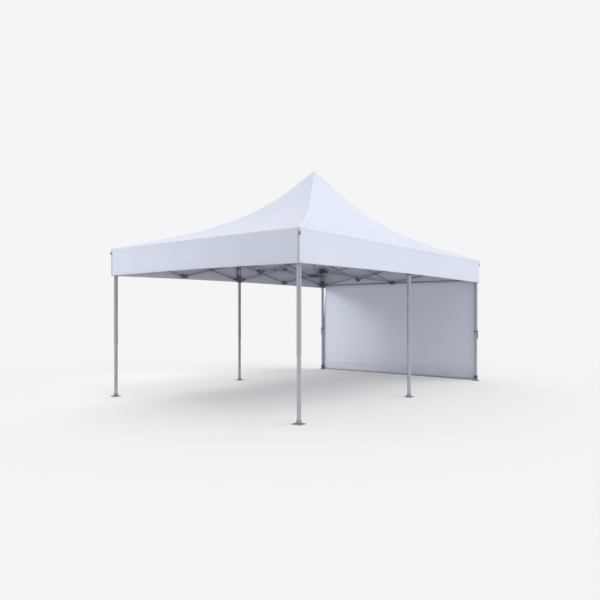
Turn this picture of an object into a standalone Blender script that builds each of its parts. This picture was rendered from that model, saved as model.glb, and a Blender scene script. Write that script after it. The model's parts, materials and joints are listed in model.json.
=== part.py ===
"""Six-legged folding canopy tent, 6 x 4 m, with one side wall.

The origin is the centre of the footprint on the ground. +X runs along the long sides, from the
open end to the end with the side wall, +Y from the front long side to the back one, and +Z up.
"""

import math

import bmesh
import bpy
from mathutils import Matrix, Vector

# Overall sizes, in metres
LENGTH = 6.0
WIDTH = 4.0
EAVE_Z = 2.46
PEAK_Z = 4.02
VALANCE_DROP = 0.45
HALF_LENGTH = LENGTH / 2
HALF_WIDTH = WIDTH / 2

# Meshes that touch keep this gap, and cutters run past what they cut by the margin
SEAT_GAP = 0.0003
CUTTER_MARGIN = 0.05

# Fabric, thicker than the real cloth
ROOF_THICKNESS = 0.006
VALANCE_THICKNESS = 0.006
WALL_THICKNESS = 0.004
WALL_TOP_Z = 2.08
WALL_BOTTOM_Z = 0.0085
WALL_TO_VALANCE = 0.006
WALL_EDGE_INSET = 0.025

# Roof form: a share of straight slope, the rest a concave power curve, with a rounded tip
ROOF_ROWS = 18
ROOF_ROW_CROWDING = 1.6
ROOF_STRAIGHT_SHARE = 0.50
ROOF_CURVE_POWER = 3.5
ROOF_TIP_ROUNDING = 0.02
ROOF_TIP_OPENING = 0.002
ROOF_CUTTER_MARGIN = 0.1
ROOF_FACE_SAG = 0.04

# Legs: eight-sided tubes, the lower one sliding in the upper one
LEG_INSET = 0.055
LEG_SIDES = 8
OUTER_TUBE_WIDTH = 0.060
OUTER_TUBE_WALL = 0.0025
OUTER_TUBE_LOW_Z = 0.87
TUBE_RUNNING_GAP = 0.0005
INNER_TUBE_WALL = 0.0025
INNER_TUBE_WIDTH = OUTER_TUBE_WIDTH - 2 * OUTER_TUBE_WALL - 2 * TUBE_RUNNING_GAP
INNER_TUBE_TOP_Z = 1.32
FOOT_PLATE_WIDTH = 0.13
FOOT_PLATE_THICKNESS = 0.008
FOOT_SOCKET_WIDTH = 0.064
FOOT_SOCKET_TOP_Z = 0.055

# Scissor bars and the fittings that carry them
TOP_PIVOT_Z = 2.395
LOW_PIVOT_Z = 2.075
BAR_DEPTH = 0.030
BAR_THICKNESS = 0.012
BAR_PLANE_OFFSET = 0.008
PIVOT_RADIUS = 0.012
PIVOT_LENGTH = 0.034
PIVOT_SIDES = 12
FITTING_WIDTH = 0.036
FITTING_HEIGHT = 0.056
HUB_LENGTH = 0.090
TONGUE_LENGTH = 0.035
BRACKET_WIDTH = 0.072
BRACKET_ARM = 0.030
TOP_BRACKET_LOW_Z = 2.335
OUTER_TUBE_TOP_Z = 2.425
SLIDER_HALF_HEIGHT = 0.055

# Centre pole
POLE_RADIUS = 0.020
POLE_WALL = 0.0025
POLE_SIDES = 16
POLE_HUB_WIDTH = 0.090
POLE_HUB_ARM = 0.025
LOWER_HUB_TOP_Z = LOW_PIVOT_Z + 0.032
UPPER_HUB_HEIGHT = 0.066
CAP_TOP_RADIUS = 0.020
CAP_RADIUS = 0.050
CAP_TOP_DROP = 0.0190
CAP_SHOULDER_DROP = 0.0600
CAP_HEIGHT = 0.100
CAP_SIDES = 24

LEG_X = HALF_LENGTH - LEG_INSET
LEG_Y = HALF_WIDTH - LEG_INSET
LEGS = {
    "front_left": (-LEG_X, -LEG_Y),
    "front_middle": (0.0, -LEG_Y),
    "front_right": (LEG_X, -LEG_Y),
    "back_left": (-LEG_X, LEG_Y),
    "back_middle": (0.0, LEG_Y),
    "back_right": (LEG_X, LEG_Y),
}


def clear_scene():
    """Remove what the file opened with."""
    for obj in list(bpy.data.objects):
        bpy.data.objects.remove(obj, do_unlink=True)


def new_collection(name, parent=None):
    """A collection linked under the scene or another collection."""
    collection = bpy.data.collections.new(name)
    (parent or bpy.context.scene.collection).children.link(collection)
    return collection


def finish_of(name, colour, roughness, metallic=0.0):
    """A Principled material."""
    material = bpy.data.materials.new(name)
    material.use_nodes = True
    shader = material.node_tree.nodes["Principled BSDF"]
    shader.inputs["Base Color"].default_value = (*colour, 1.0)
    shader.inputs["Roughness"].default_value = roughness
    shader.inputs["Metallic"].default_value = metallic
    material.diffuse_color = (*colour, 1.0)
    return material


clear_scene()
TENT = new_collection("canopy_tent")
HELPERS = new_collection("helpers")
CLOTH = finish_of("white_canopy_cloth", (0.82, 0.84, 0.90), 0.75)
WALL_CLOTH = finish_of("side_wall_cloth", (0.62, 0.65, 0.72), 0.75)
ALUMINIUM = finish_of("anodised_aluminium", (0.62, 0.63, 0.66), 0.35, 0.9)
PLASTIC = finish_of("black_nylon", (0.06, 0.065, 0.075), 0.5)


def new_object(name, bm, collection, material=None, location=(0, 0, 0), turn=None):
    """An object made from a bmesh, which is freed."""
    mesh = bpy.data.meshes.new(name)
    bm.to_mesh(mesh)
    bm.free()
    obj = bpy.data.objects.new(name, mesh)
    obj.location = location
    if turn is not None:
        obj.rotation_euler = turn
    if material is not None:
        mesh.materials.append(material)
    collection.objects.link(obj)
    return obj


def as_helper(obj):
    """Keep an object out of the model: it only cuts or joins."""
    obj.hide_render = True
    obj.display_type = "WIRE"
    return obj


def block(name, centre, size, collection, material=None, turn=None):
    """A box of a size about its centre."""
    bm = bmesh.new()
    bmesh.ops.create_cube(bm, size=1.0)
    bmesh.ops.scale(bm, vec=size, verts=bm.verts)
    return new_object(name, bm, collection, material, centre, turn)


def prism(name, across, low_z, high_z, place, collection, material=None, sides=LEG_SIDES, capped=True):
    """An upright prism with flats towards the axes, measured across its flats."""
    bm = bmesh.new()
    radius = across / 2 / math.cos(math.pi / sides)
    bmesh.ops.create_cone(
        bm, cap_ends=capped, segments=sides, radius1=radius, radius2=radius, depth=high_z - low_z
    )
    bmesh.ops.rotate(bm, cent=(0, 0, 0), matrix=Matrix.Rotation(math.pi / sides, 3, "Z"), verts=bm.verts)
    return new_object(name, bm, collection, material, (*place, (low_z + high_z) / 2))


def tube(name, across, wall, low_z, high_z, place, material, sides=LEG_SIDES):
    """An open tube: the outer skin of a prism, with its wall set inwards."""
    obj = prism(name, across, low_z, high_z, place, TENT, material, sides, capped=False)
    shell = obj.modifiers.new("wall", "SOLIDIFY")
    shell.thickness = wall
    shell.offset = -1.0
    shell.use_even_offset = True
    return obj


def join(base, pieces):
    """Join helper pieces to an object, so that it is one body."""
    group = new_collection(base.name + "_pieces", HELPERS)
    for piece in pieces:
        as_helper(piece)
        for old in list(piece.users_collection):
            old.objects.unlink(piece)
        group.objects.link(piece)
    union = base.modifiers.new("join", "BOOLEAN")
    union.operation = "UNION"
    union.operand_type = "COLLECTION"
    union.collection = group
    union.solver = "EXACT"


def cut(base, cutter, operation="DIFFERENCE"):
    """Take a helper's shape out of an object, or keep only what lies inside it."""
    as_helper(cutter)
    trim = base.modifiers.new("cut", "BOOLEAN")
    trim.operation = operation
    trim.object = cutter
    trim.solver = "EXACT"


def roof_height(x, y):
    """Height of the roof cloth's outer face over a point of the footprint."""
    along = abs(x) / HALF_LENGTH
    across = abs(y) / HALF_WIDTH
    out = max(along, across)
    rounded = math.hypot(out, ROOF_TIP_ROUNDING) - ROOF_TIP_ROUNDING
    rounded /= math.hypot(1.0, ROOF_TIP_ROUNDING) - ROOF_TIP_ROUNDING
    slope = ROOF_STRAIGHT_SHARE * (1 - rounded)
    curve = (1 - ROOF_STRAIGHT_SHARE) * (1 - rounded) ** ROOF_CURVE_POWER
    off_hip = 1 - (min(along, across) / out) ** 2 if out > 0 else 0.0
    sag = ROOF_FACE_SAG * math.sin(math.pi * min(out, 1.0)) * off_hip
    return EAVE_Z + (PEAK_Z - EAVE_Z) * (slope + curve) - sag


def roof_mesh():
    """The roof's outer face: a four-sided pyramid, subdivided and drawn into its concave form."""
    bm = bmesh.new()
    bmesh.ops.create_cone(bm, cap_ends=False, segments=4, radius1=math.sqrt(2), radius2=0.0, depth=1.0)
    bmesh.ops.remove_doubles(bm, verts=bm.verts, dist=0.0001)
    bmesh.ops.rotate(bm, cent=(0, 0, 0), matrix=Matrix.Rotation(math.pi / 4, 3, "Z"), verts=bm.verts)
    bmesh.ops.subdivide_edges(bm, edges=bm.edges, cuts=ROOF_ROWS - 1, use_grid_fill=True)
    for vertex in bm.verts:
        out = max(abs(vertex.co.x), abs(vertex.co.y))
        spread = out ** (ROOF_ROW_CROWDING - 1) if out > 0 else 0.0
        x = vertex.co.x * spread * HALF_LENGTH
        y = vertex.co.y * spread * HALF_WIDTH
        vertex.co = Vector((x, y, roof_height(x, y)))
    bm.normal_update()
    if sum(face.normal.z for face in bm.faces) < 0:
        bmesh.ops.reverse_faces(bm, faces=bm.faces)
    return bm


def wedge(name, reach, width):
    """A cutter over one of the roof's four faces: a box pinched towards the peak.

    It runs out along -Y by reach, where the roof is 2 * width wide, and stops short of the hips.
    """
    bm = bmesh.new()
    bmesh.ops.create_cube(bm, size=2.0)
    for vertex in bm.verts:
        y = -(reach + ROOF_CUTTER_MARGIN) if vertex.co.y < 0 else -ROOF_TIP_OPENING
        half = abs(y) * width / reach - SEAT_GAP
        height = EAVE_Z - ROOF_CUTTER_MARGIN if vertex.co.z < 0 else PEAK_Z + ROOF_CUTTER_MARGIN
        vertex.co = Vector((math.copysign(half, vertex.co.x), y, height))
    return new_object(name, bm, HELPERS)


def make_roof():
    """The roof cloth as its four sewn panels, mitred along the hips."""
    sides = (
        ("front", 0.0, HALF_WIDTH, HALF_LENGTH),
        ("right", math.pi / 2, HALF_LENGTH, HALF_WIDTH),
        ("back", math.pi, HALF_WIDTH, HALF_LENGTH),
        ("left", -math.pi / 2, HALF_LENGTH, HALF_WIDTH),
    )
    for name, turn, reach, width in sides:
        panel = new_object(f"roof_panel_{name}", roof_mesh(), TENT, CLOTH)
        shell = panel.modifiers.new("cloth", "SOLIDIFY")
        shell.thickness = ROOF_THICKNESS
        shell.offset = -1.0
        cutter = wedge(f"roof_wedge_{name}", reach, width)
        cutter.rotation_euler = (0, 0, turn)
        cut(panel, cutter, "INTERSECT")


def make_valances():
    """The four hanging borders under the roof's edge."""
    top = EAVE_Z - ROOF_THICKNESS - 2 * SEAT_GAP
    bottom = EAVE_Z - VALANCE_DROP
    middle = (top + bottom) / 2
    height = top - bottom
    side_y = HALF_WIDTH - VALANCE_THICKNESS / 2
    side_x = HALF_LENGTH - VALANCE_THICKNESS / 2
    end_width = WIDTH - 2 * VALANCE_THICKNESS - 2 * SEAT_GAP
    for name, y in (("front", -side_y), ("back", side_y)):
        block(f"valance_{name}", (0, y, middle), (LENGTH, VALANCE_THICKNESS, height), TENT, CLOTH)
    for name, x in (("left", -side_x), ("right", side_x)):
        block(f"valance_{name}", (x, 0, middle), (VALANCE_THICKNESS, end_width, height), TENT, CLOTH)


def make_side_wall():
    """The one wall cloth, hung inside the right-hand valance and tied round its two legs."""
    x = HALF_LENGTH - VALANCE_THICKNESS - WALL_TO_VALANCE - WALL_THICKNESS / 2
    size = (WALL_THICKNESS, WIDTH - 2 * WALL_EDGE_INSET, WALL_TOP_Z - WALL_BOTTOM_Z)
    block("side_wall", (x, 0, (WALL_TOP_Z + WALL_BOTTOM_Z) / 2), size, TENT, WALL_CLOTH)


def inward_arms(x, y):
    """The plan directions in which a leg's fittings carry bars."""
    arms = [(0, -1 if y > 0 else 1)]
    arms += [(step, 0) for step in (-1, 1) if abs(x + step * LEG_X) <= LEG_X]
    return arms


def arm_blocks(name, place, height, reach, start, arms):
    """The ears of a fitting, one towards each bar."""
    pieces = []
    for index, (dx, dy) in enumerate(arms):
        middle = (start + reach) / 2
        centre = (place[0] + dx * middle, place[1] + dy * middle, height)
        along = reach - start
        size = (along, FITTING_WIDTH, FITTING_HEIGHT) if dx else (FITTING_WIDTH, along, FITTING_HEIGHT)
        pieces.append(block(f"{name}_ear_{index}", centre, size, HELPERS))
    return pieces


def make_leg(name, place):
    """One leg: upper tube, lower tube with its foot, top bracket and sliding bracket."""
    tube(f"upper_leg_{name}", OUTER_TUBE_WIDTH, OUTER_TUBE_WALL, OUTER_TUBE_LOW_Z, OUTER_TUBE_TOP_Z,
         place, ALUMINIUM)
    lower = tube(f"lower_leg_{name}", INNER_TUBE_WIDTH, INNER_TUBE_WALL, FOOT_PLATE_THICKNESS / 2,
                 INNER_TUBE_TOP_Z, place, ALUMINIUM)
    plate = block(f"foot_plate_{name}", (*place, FOOT_PLATE_THICKNESS / 2),
                  (FOOT_PLATE_WIDTH, FOOT_PLATE_WIDTH, FOOT_PLATE_THICKNESS), HELPERS)
    socket = prism(f"foot_socket_{name}", FOOT_SOCKET_WIDTH, FOOT_PLATE_THICKNESS / 2, FOOT_SOCKET_TOP_Z,
                   place, HELPERS)
    join(lower, [plate, socket])

    half = BRACKET_WIDTH / 2
    reach = half + BRACKET_ARM
    arms = inward_arms(*place)
    outer_x = place[0] + math.copysign(half, place[0]) if place[0] else 0.0
    outer_y = place[1] + math.copysign(half, place[1])
    top_z = roof_height(outer_x, outer_y) - ROOF_THICKNESS - 2 * SEAT_GAP
    top = block(f"top_bracket_{name}", (*place, (top_z + TOP_BRACKET_LOW_Z) / 2),
                (BRACKET_WIDTH, BRACKET_WIDTH, top_z - TOP_BRACKET_LOW_Z), TENT, PLASTIC)
    join(top, arm_blocks(f"top_{name}", place, TOP_PIVOT_Z, reach, half / 2, arms))
    pocket_width = OUTER_TUBE_WIDTH + 2 * SEAT_GAP
    cut(top, prism(f"top_pocket_{name}", pocket_width, TOP_BRACKET_LOW_Z - CUTTER_MARGIN,
                   OUTER_TUBE_TOP_Z + SEAT_GAP, place, HELPERS))

    slider = block(f"slider_{name}", (*place, LOW_PIVOT_Z),
                   (BRACKET_WIDTH, BRACKET_WIDTH, 2 * SLIDER_HALF_HEIGHT), TENT, PLASTIC)
    join(slider, arm_blocks(f"slider_{name}", place, LOW_PIVOT_Z, reach, half / 2, arms))
    bore_half = SLIDER_HALF_HEIGHT + CUTTER_MARGIN
    cut(slider, prism(f"slider_bore_{name}", pocket_width, LOW_PIVOT_Z - bore_half, LOW_PIVOT_Z + bore_half,
                      place, HELPERS))


def make_truss(name, start, end, units):
    """A run of scissor units between two upright faces, all in one upright plane.

    Bars that lean one way lie on one side of the plane and the others on the other side, with a
    pivot through each crossing, hubs between units and a tongue at each end.
    """
    start = Vector(start)
    end = Vector(end)
    run = (end - start).length - 2 * SEAT_GAP
    along = (end - start).normalized()
    angle = math.atan2(along.y, along.x)
    side = Vector((-along.y, along.x))
    first = start + along * SEAT_GAP
    pitch = run / units

    def at(distance, height, offset=0.0):
        plan = first + along * distance + side * offset
        return (plan.x, plan.y, height)

    pieces = []
    rise = TOP_PIVOT_Z - LOW_PIVOT_Z
    for unit in range(units):
        near = unit * pitch + (TONGUE_LENGTH / 2 if unit == 0 else 0.0)
        far = (unit + 1) * pitch - (TONGUE_LENGTH / 2 if unit == units - 1 else 0.0)
        middle = (near + far) / 2
        length = math.hypot(far - near, rise)
        lean = math.atan2(rise, far - near)
        for sign in (-1, 1):
            centre = at(middle, (TOP_PIVOT_Z + LOW_PIVOT_Z) / 2, sign * BAR_PLANE_OFFSET)
            bar = block(f"{name}_bar_{unit}_{sign}", centre, (length, BAR_THICKNESS, BAR_DEPTH), HELPERS,
                        turn=(0, sign * lean, angle))
            pieces.append(bar)
        bm = bmesh.new()
        bmesh.ops.create_cone(bm, cap_ends=True, segments=PIVOT_SIDES, radius1=PIVOT_RADIUS,
                              radius2=PIVOT_RADIUS, depth=PIVOT_LENGTH)
        bmesh.ops.rotate(bm, cent=(0, 0, 0), matrix=Matrix.Rotation(math.pi / 2, 3, "X"), verts=bm.verts)
        pieces.append(new_object(f"{name}_pivot_{unit}", bm, HELPERS,
                                 location=at(middle, (TOP_PIVOT_Z + LOW_PIVOT_Z) / 2), turn=(0, 0, angle)))
    for height in (LOW_PIVOT_Z, TOP_PIVOT_Z):
        for hub in range(1, units):
            pieces.append(block(f"{name}_hub_{hub}_{height}", at(hub * pitch, height),
                                (HUB_LENGTH, FITTING_WIDTH, FITTING_HEIGHT), HELPERS, turn=(0, 0, angle)))
        for distance in (TONGUE_LENGTH / 2, run - TONGUE_LENGTH / 2):
            pieces.append(block(f"{name}_tongue_{distance:.2f}_{height}", at(distance, height),
                                (TONGUE_LENGTH, FITTING_WIDTH, FITTING_HEIGHT), HELPERS,
                                turn=(0, 0, angle)))
    base = pieces.pop()
    base.name = name
    base.data.materials.append(ALUMINIUM)
    HELPERS.objects.unlink(base)
    TENT.objects.link(base)
    join(base, pieces)


def make_trusses():
    """The scissor runs round the eaves and across the middle."""
    reach = BRACKET_WIDTH / 2 + BRACKET_ARM
    hub_reach = POLE_HUB_WIDTH / 2 + POLE_HUB_ARM
    for name, y in (("front", -LEG_Y), ("back", LEG_Y)):
        make_truss(f"truss_{name}_left", (-LEG_X + reach, y), (-reach, y), 2)
        make_truss(f"truss_{name}_right", (reach, y), (LEG_X - reach, y), 2)
        sign = math.copysign(1, y)
        make_truss(f"truss_middle_{name}", (0, sign * hub_reach), (0, y - sign * reach), 1)
    for name, x in (("left", -LEG_X), ("right", LEG_X)):
        sign = math.copysign(1, x)
        make_truss(f"truss_{name}_end", (x, -LEG_Y + reach), (x, LEG_Y - reach), 2)
        make_truss(f"truss_axis_{name}", (sign * hub_reach, 0), (x - sign * FITTING_WIDTH / 2, 0), 2)


def make_centre_pole():
    """The pole that lifts the peak, with its two hubs and its cap."""
    arms = [(-1, 0), (1, 0), (0, -1), (0, 1)]
    half = POLE_HUB_WIDTH / 2
    reach = half + POLE_HUB_ARM
    lower_height = FITTING_HEIGHT / 2
    lower = block("pole_hub_lower", (0, 0, (LOW_PIVOT_Z - lower_height + LOWER_HUB_TOP_Z) / 2),
                  (POLE_HUB_WIDTH, POLE_HUB_WIDTH, LOWER_HUB_TOP_Z - LOW_PIVOT_Z + lower_height),
                  TENT, PLASTIC)
    join(lower, arm_blocks("pole_hub_lower", (0, 0), LOW_PIVOT_Z, reach, half / 2, arms))
    upper = block("pole_hub_upper", (0, 0, TOP_PIVOT_Z), (POLE_HUB_WIDTH, POLE_HUB_WIDTH, UPPER_HUB_HEIGHT),
                  TENT, PLASTIC)
    join(upper, arm_blocks("pole_hub_upper", (0, 0), TOP_PIVOT_Z, reach, half / 2, arms))
    bore_half = UPPER_HUB_HEIGHT / 2 + CUTTER_MARGIN
    cut(upper, prism("pole_bore", 2 * POLE_RADIUS + 2 * SEAT_GAP, TOP_PIVOT_Z - bore_half,
                     TOP_PIVOT_Z + bore_half, (0, 0), HELPERS, sides=POLE_SIDES))
    cap_low = PEAK_Z - CAP_HEIGHT
    tube("centre_pole", 2 * POLE_RADIUS, POLE_WALL, LOWER_HUB_TOP_Z + SEAT_GAP, cap_low - SEAT_GAP,
         (0, 0), ALUMINIUM, POLE_SIDES)

    bm = bmesh.new()
    outline = [
        (0.0, PEAK_Z - CAP_TOP_DROP),
        (CAP_TOP_RADIUS, PEAK_Z - CAP_TOP_DROP),
        (CAP_RADIUS, PEAK_Z - CAP_SHOULDER_DROP),
        (CAP_RADIUS, cap_low),
        (0.0, cap_low),
    ]
    points = [bm.verts.new((radius, 0, height)) for radius, height in outline]
    for first, second in zip(points, points[1:]):
        bm.edges.new((first, second))
    cap = new_object("peak_cap", bm, TENT, PLASTIC)
    turn = cap.modifiers.new("turn", "SCREW")
    turn.steps = CAP_SIDES
    turn.render_steps = CAP_SIDES
    turn.use_merge_vertices = True
    turn.merge_threshold = 0.0001


def main():
    make_roof()
    make_valances()
    make_side_wall()
    for name, place in LEGS.items():
        make_leg(name, place)
    make_trusses()
    make_centre_pole()


main()
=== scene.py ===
"""Looks of a white folding canopy tent, 6 x 4 m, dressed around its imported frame."""

import functools
import json
import logging
import math
from dataclasses import dataclass, field
from enum import Enum
from typing import Callable, Iterable, Sequence

import bmesh
import bpy
from bmesh.types import BMEdge, BMesh, BMFace, BMVert
from bpy.types import Light, Material, Node, NodeSocket, Object, World
from mathutils import Matrix, Vector, noise

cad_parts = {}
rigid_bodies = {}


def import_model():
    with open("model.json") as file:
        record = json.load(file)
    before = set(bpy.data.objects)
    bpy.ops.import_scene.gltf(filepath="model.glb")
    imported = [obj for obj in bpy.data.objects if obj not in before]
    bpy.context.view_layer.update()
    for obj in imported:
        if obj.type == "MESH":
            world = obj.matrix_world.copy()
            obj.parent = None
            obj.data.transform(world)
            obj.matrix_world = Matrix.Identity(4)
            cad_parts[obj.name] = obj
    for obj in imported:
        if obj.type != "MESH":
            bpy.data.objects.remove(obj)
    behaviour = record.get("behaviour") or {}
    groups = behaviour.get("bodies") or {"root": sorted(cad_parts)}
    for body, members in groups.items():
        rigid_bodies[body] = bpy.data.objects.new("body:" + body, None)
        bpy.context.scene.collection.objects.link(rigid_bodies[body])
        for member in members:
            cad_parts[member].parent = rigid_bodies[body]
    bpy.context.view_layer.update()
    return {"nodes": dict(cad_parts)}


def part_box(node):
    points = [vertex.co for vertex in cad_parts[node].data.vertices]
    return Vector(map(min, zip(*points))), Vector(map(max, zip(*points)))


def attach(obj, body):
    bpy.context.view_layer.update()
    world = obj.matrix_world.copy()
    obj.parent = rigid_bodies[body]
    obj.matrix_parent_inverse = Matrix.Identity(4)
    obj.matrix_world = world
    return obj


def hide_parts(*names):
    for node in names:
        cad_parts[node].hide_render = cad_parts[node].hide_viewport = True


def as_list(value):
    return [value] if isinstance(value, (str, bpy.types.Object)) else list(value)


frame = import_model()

LOG = logging.getLogger("canopy_tent")

# Types that come back often: what a socket takes, and a surface's point for a share along and a share across
Colour = tuple[float, float, float]
Size = tuple[float, float, float]
Socket = NodeSocket
Value = Socket | float | tuple[float, ...]
Surface = Callable[[float, float], Vector]

# The cover's plan and heights, in metres
HALF_LENGTH = 3.0
HALF_WIDTH = 2.0
EAVE_Z = 2.46
PEAK_Z = 4.02
VALANCE_DROP = 0.45

# Pivot heights of the scissor bars, and the sizes of the leg tubes
TOP_PIVOT_Z = 2.395
LOW_PIVOT_Z = 2.075
TUBE_WALL = 0.0025
TUBE_RUNNING_GAP = 0.0005
FOOT_SOCKET_WIDTH = 0.064
FOOT_PLATE_THICKNESS = 0.008
LEG_NAMES = ("front_left", "front_middle", "front_right", "back_left", "back_middle", "back_right")
SLIDING_LEGS = ("front_left", "front_middle", "back_left", "back_middle")
LEG_SIDES = 8

# A pivot bolt: how far its heads stand off the middle of a fork, and their radius and reach
FORK_HALF = 0.0178
PIVOT_HEAD = (0.0068, 0.0075)

# The sewing: from one stitch to the next, a stitch's width, its height and the height of a sewn tape,
# how far a row lies inside a tape's edge and how far the thread stands off the cloth
STITCH_PITCH = 0.012
STITCH_WIDTH = 0.0018
STITCH_HEIGHT = 0.0007
TAPE_HEIGHT = 0.0012
STITCH_INSET = 0.004
THREAD_LIFT = TAPE_HEIGHT + STITCH_HEIGHT

# Tapes and patches: their thickness, and how far a tape is laid off the cloth; and a strap of webbing
TAPE_THICKNESS = 0.0009
PATCH_THICKNESS = 0.0008
TAPE_LIFT = 0.0010
STRAP_WIDTH = 0.025
STRAP_THICKNESS = 0.0018

# Angles in degrees: up to which mouldings, cloth and tubes are shaded smooth, and past which an edge is a rim
MOULDING_SMOOTH = 32.0
CLOTH_SMOOTH = 60.0
TUBE_SMOOTH = 25.0
RIM_ANGLE = 70.0

# The steps of small, middling and larger turned parts
SMALL_STEPS = 16
MIDDLE_STEPS = 20
LARGE_STEPS = 24

# How near a line a point has to lie to count as on it, and how near the middle a leg, to be a middle one
NEAR = 1e-4
NEAR_MIDDLE = 0.1

UP = Vector((0.0, 0.0, 1.0))
RIGHT, BACK, LEFT, FRONT = (Vector(way) for way in ((1, 0, 0), (0, 1, 0), (-1, 0, 0), (0, -1, 0)))
SIDES = (RIGHT, BACK, LEFT, FRONT)


class Slot(Enum):
    """The record's material slots."""

    CANOPY = "canopy_cloth"
    WALL = "wall_cloth"
    METAL = "aluminium"
    MOULDED = "nylon"


class Corner(Enum):
    """The cover's corners: each one's side along the length, and across the width."""

    FRONT_LEFT = (-1, -1)
    FRONT_RIGHT = (1, -1)
    BACK_LEFT = (-1, 1)
    BACK_RIGHT = (1, 1)

    @property
    def hip(self) -> Vector:
        """The plan of the hip, from the peak to the corner."""
        return Vector((self.value[0] * HALF_LENGTH, self.value[1] * HALF_WIDTH, 0.0))

    @property
    def aside(self) -> Vector:
        """The plan direction across the hip, towards the long side's face."""
        return left_of(self.hip).normalized() * (self.value[0] * self.value[1])


class Tree:
    """The node tree of a new material or world, with short calls for its usual nodes."""

    def __init__(self, owner: Material | World) -> None:
        """Start from the owner's own shader.

        Args:
            owner: the material or the world.
        """
        owner.use_nodes = True
        self.nodes = owner.node_tree.nodes
        self.links = owner.node_tree.links
        self.shader = self.nodes["Principled BSDF" if isinstance(owner, Material) else "Background"]

    def give(self, socket: Socket, value: Value) -> None:
        """Set a socket to a value, or link it to another socket.

        Args:
            socket: the socket.
            value: the value, or the socket that it is linked to.
        """
        if isinstance(value, Socket):
            self.links.new(value, socket)
        else:
            socket.default_value = value

    def set(self, values: dict[str, Value]) -> None:
        """Set or link the shader's own sockets, by their names."""
        for name, value in values.items():
            self.give(self.shader.inputs[name], value)

    def node(self, kind: str, inputs: dict[str | int, Value], **options: str) -> Node:
        """A new node.

        Args:
            kind: its type, without the usual beginning.
            inputs: what its inputs are set or linked to, by their names or numbers.
            options: its other settings.

        Returns:
            The node.
        """
        node = self.nodes.new(f"ShaderNode{kind}")
        for name, value in options.items():
            setattr(node, name, value)
        for name, value in inputs.items():
            self.give(node.inputs[name], value)
        return node

    def place(self, source: str, scale: Size = (1.0, 1.0, 1.0)) -> Socket:
        """Coordinates, stretched by a Mapping node.

        Args:
            source: the Texture Coordinate output, Object or UV.
            scale: the stretch along each axis.

        Returns:
            The mapped vector.
        """
        coordinates = self.node("TexCoord", {}).outputs[source]
        return self.node("Mapping", {"Vector": coordinates, "Scale": scale}).outputs["Vector"]

    def noise(self, vector: Socket, scale: float, detail: float) -> Socket:
        """A soft noise.

        Args:
            vector: where it is read.
            scale: its fineness, per metre.
            detail: its octaves.

        Returns:
            The noise, from 0 to 1.
        """
        return self.node("TexNoise", {"Vector": vector, "Scale": scale, "Detail": detail}).outputs["Fac"]

    def ribs(self, vector: Socket, pitch: float, axis: str) -> Socket:
        """Even ribs, as of threads laid side by side.

        Args:
            vector: where they are read.
            pitch: from one rib to the next, in metres.
            axis: the axis that they follow one another along.

        Returns:
            The ribs, from 0 to 1.
        """
        inputs = {"Vector": vector, "Scale": math.pi / 10 / pitch}
        return self.node("TexWave", inputs, wave_type="BANDS", bands_direction=axis).outputs["Fac"]

    def math(self, kind: str, first: Value, second: Value) -> Socket:
        """A Math node.

        Args:
            kind: the operation.
            first: the first value or socket.
            second: the second value or socket.

        Returns:
            The result.
        """
        return self.node("Math", {0: first, 1: second}, operation=kind).outputs["Value"]

    def mix(self, first: Socket, second: Socket, share: float) -> Socket:
        """Two values, mixed.

        Args:
            first: the first.
            second: the second.
            share: how much of the second the mixture has.

        Returns:
            The mixture.
        """
        return self.math("ADD", self.math("MULTIPLY", first, 1 - share), self.math("MULTIPLY", second, share))

    def span(self, factor: Socket, middle: float, reach: float) -> Socket:
        """Spread a factor from 0 to 1 over a range.

        Args:
            factor: what is spread.
            middle: the result at a half.
            reach: how much lower it is at 0, and higher at 1.

        Returns:
            The spread value.
        """
        low, high = middle - reach, middle + reach
        return self.math("ADD", self.math("MULTIPLY", factor, high - low), low)

    def tones(self, factor: Socket, colour: Colour, low: float, high: float,
              start: float = 0.3, end: float = 0.7) -> Socket:
        """A darker and a lighter tone of a colour, blended by a factor.

        Args:
            factor: what blends them.
            colour: the colour.
            low: the share of its lightness up to start.
            high: the share of its lightness from end.
            start: where the blend starts.
            end: where it ends.

        Returns:
            The blended colour.
        """
        ramp = self.node("ValToRGB", {"Fac": factor})
        for element, position, share in zip(ramp.color_ramp.elements, (start, end), (low, high)):
            element.position = position
            element.color = (*tinted(colour, share), 1.0)
        return ramp.outputs["Color"]

    def fade(self, value: Socket, start: float, end: float, low: float, high: float) -> Socket:
        """Turn a range of values smoothly into another range.

        Args:
            value: the value.
            start: where the fade starts.
            end: where it ends.
            low: the result up to start.
            high: the result from end.

        Returns:
            The result.
        """
        inputs = {"Value": value, "From Min": start, "From Max": end, "To Min": low, "To Max": high}
        return self.node("MapRange", inputs, interpolation_type="SMOOTHSTEP").outputs["Result"]

    def painted_ground_shade(self, colour: Socket, share: float, reach: float) -> Socket:
        """Paint shade onto a colour: darker towards the ground, along an uneven line, where the floor's shade
        falls.

        Args:
            colour: the colour without the painted shade.
            share: how much darker it is at the ground.
            reach: how high the painted shade reaches.

        Returns:
            The colour with its painted shade.
        """
        place = self.place("Object")
        height = self.node("SeparateXYZ", {"Vector": place}).outputs["Z"]
        uneven = self.math("ADD", height, self.math("MULTIPLY", self.noise(place, 1.4, 2.0), reach / 2))
        light = self.fade(uneven, reach * 0.4, reach * 1.5, 1.0 - share, 1.0)
        inputs = {"Vector": colour, "Scale": light}
        return self.node("VectorMath", inputs, operation="SCALE").outputs["Vector"]

    def bump(self, height: Socket, distance: float, strength: float) -> None:
        """Raise the surface by a height.

        Args:
            height: the height, from 0 to 1.
            distance: what 1 stands for, in metres.
            strength: the share of it that shows.
        """
        node = self.node("Bump", {"Height": height, "Distance": distance, "Strength": strength})
        self.set({"Normal": node.outputs["Normal"]})

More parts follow.
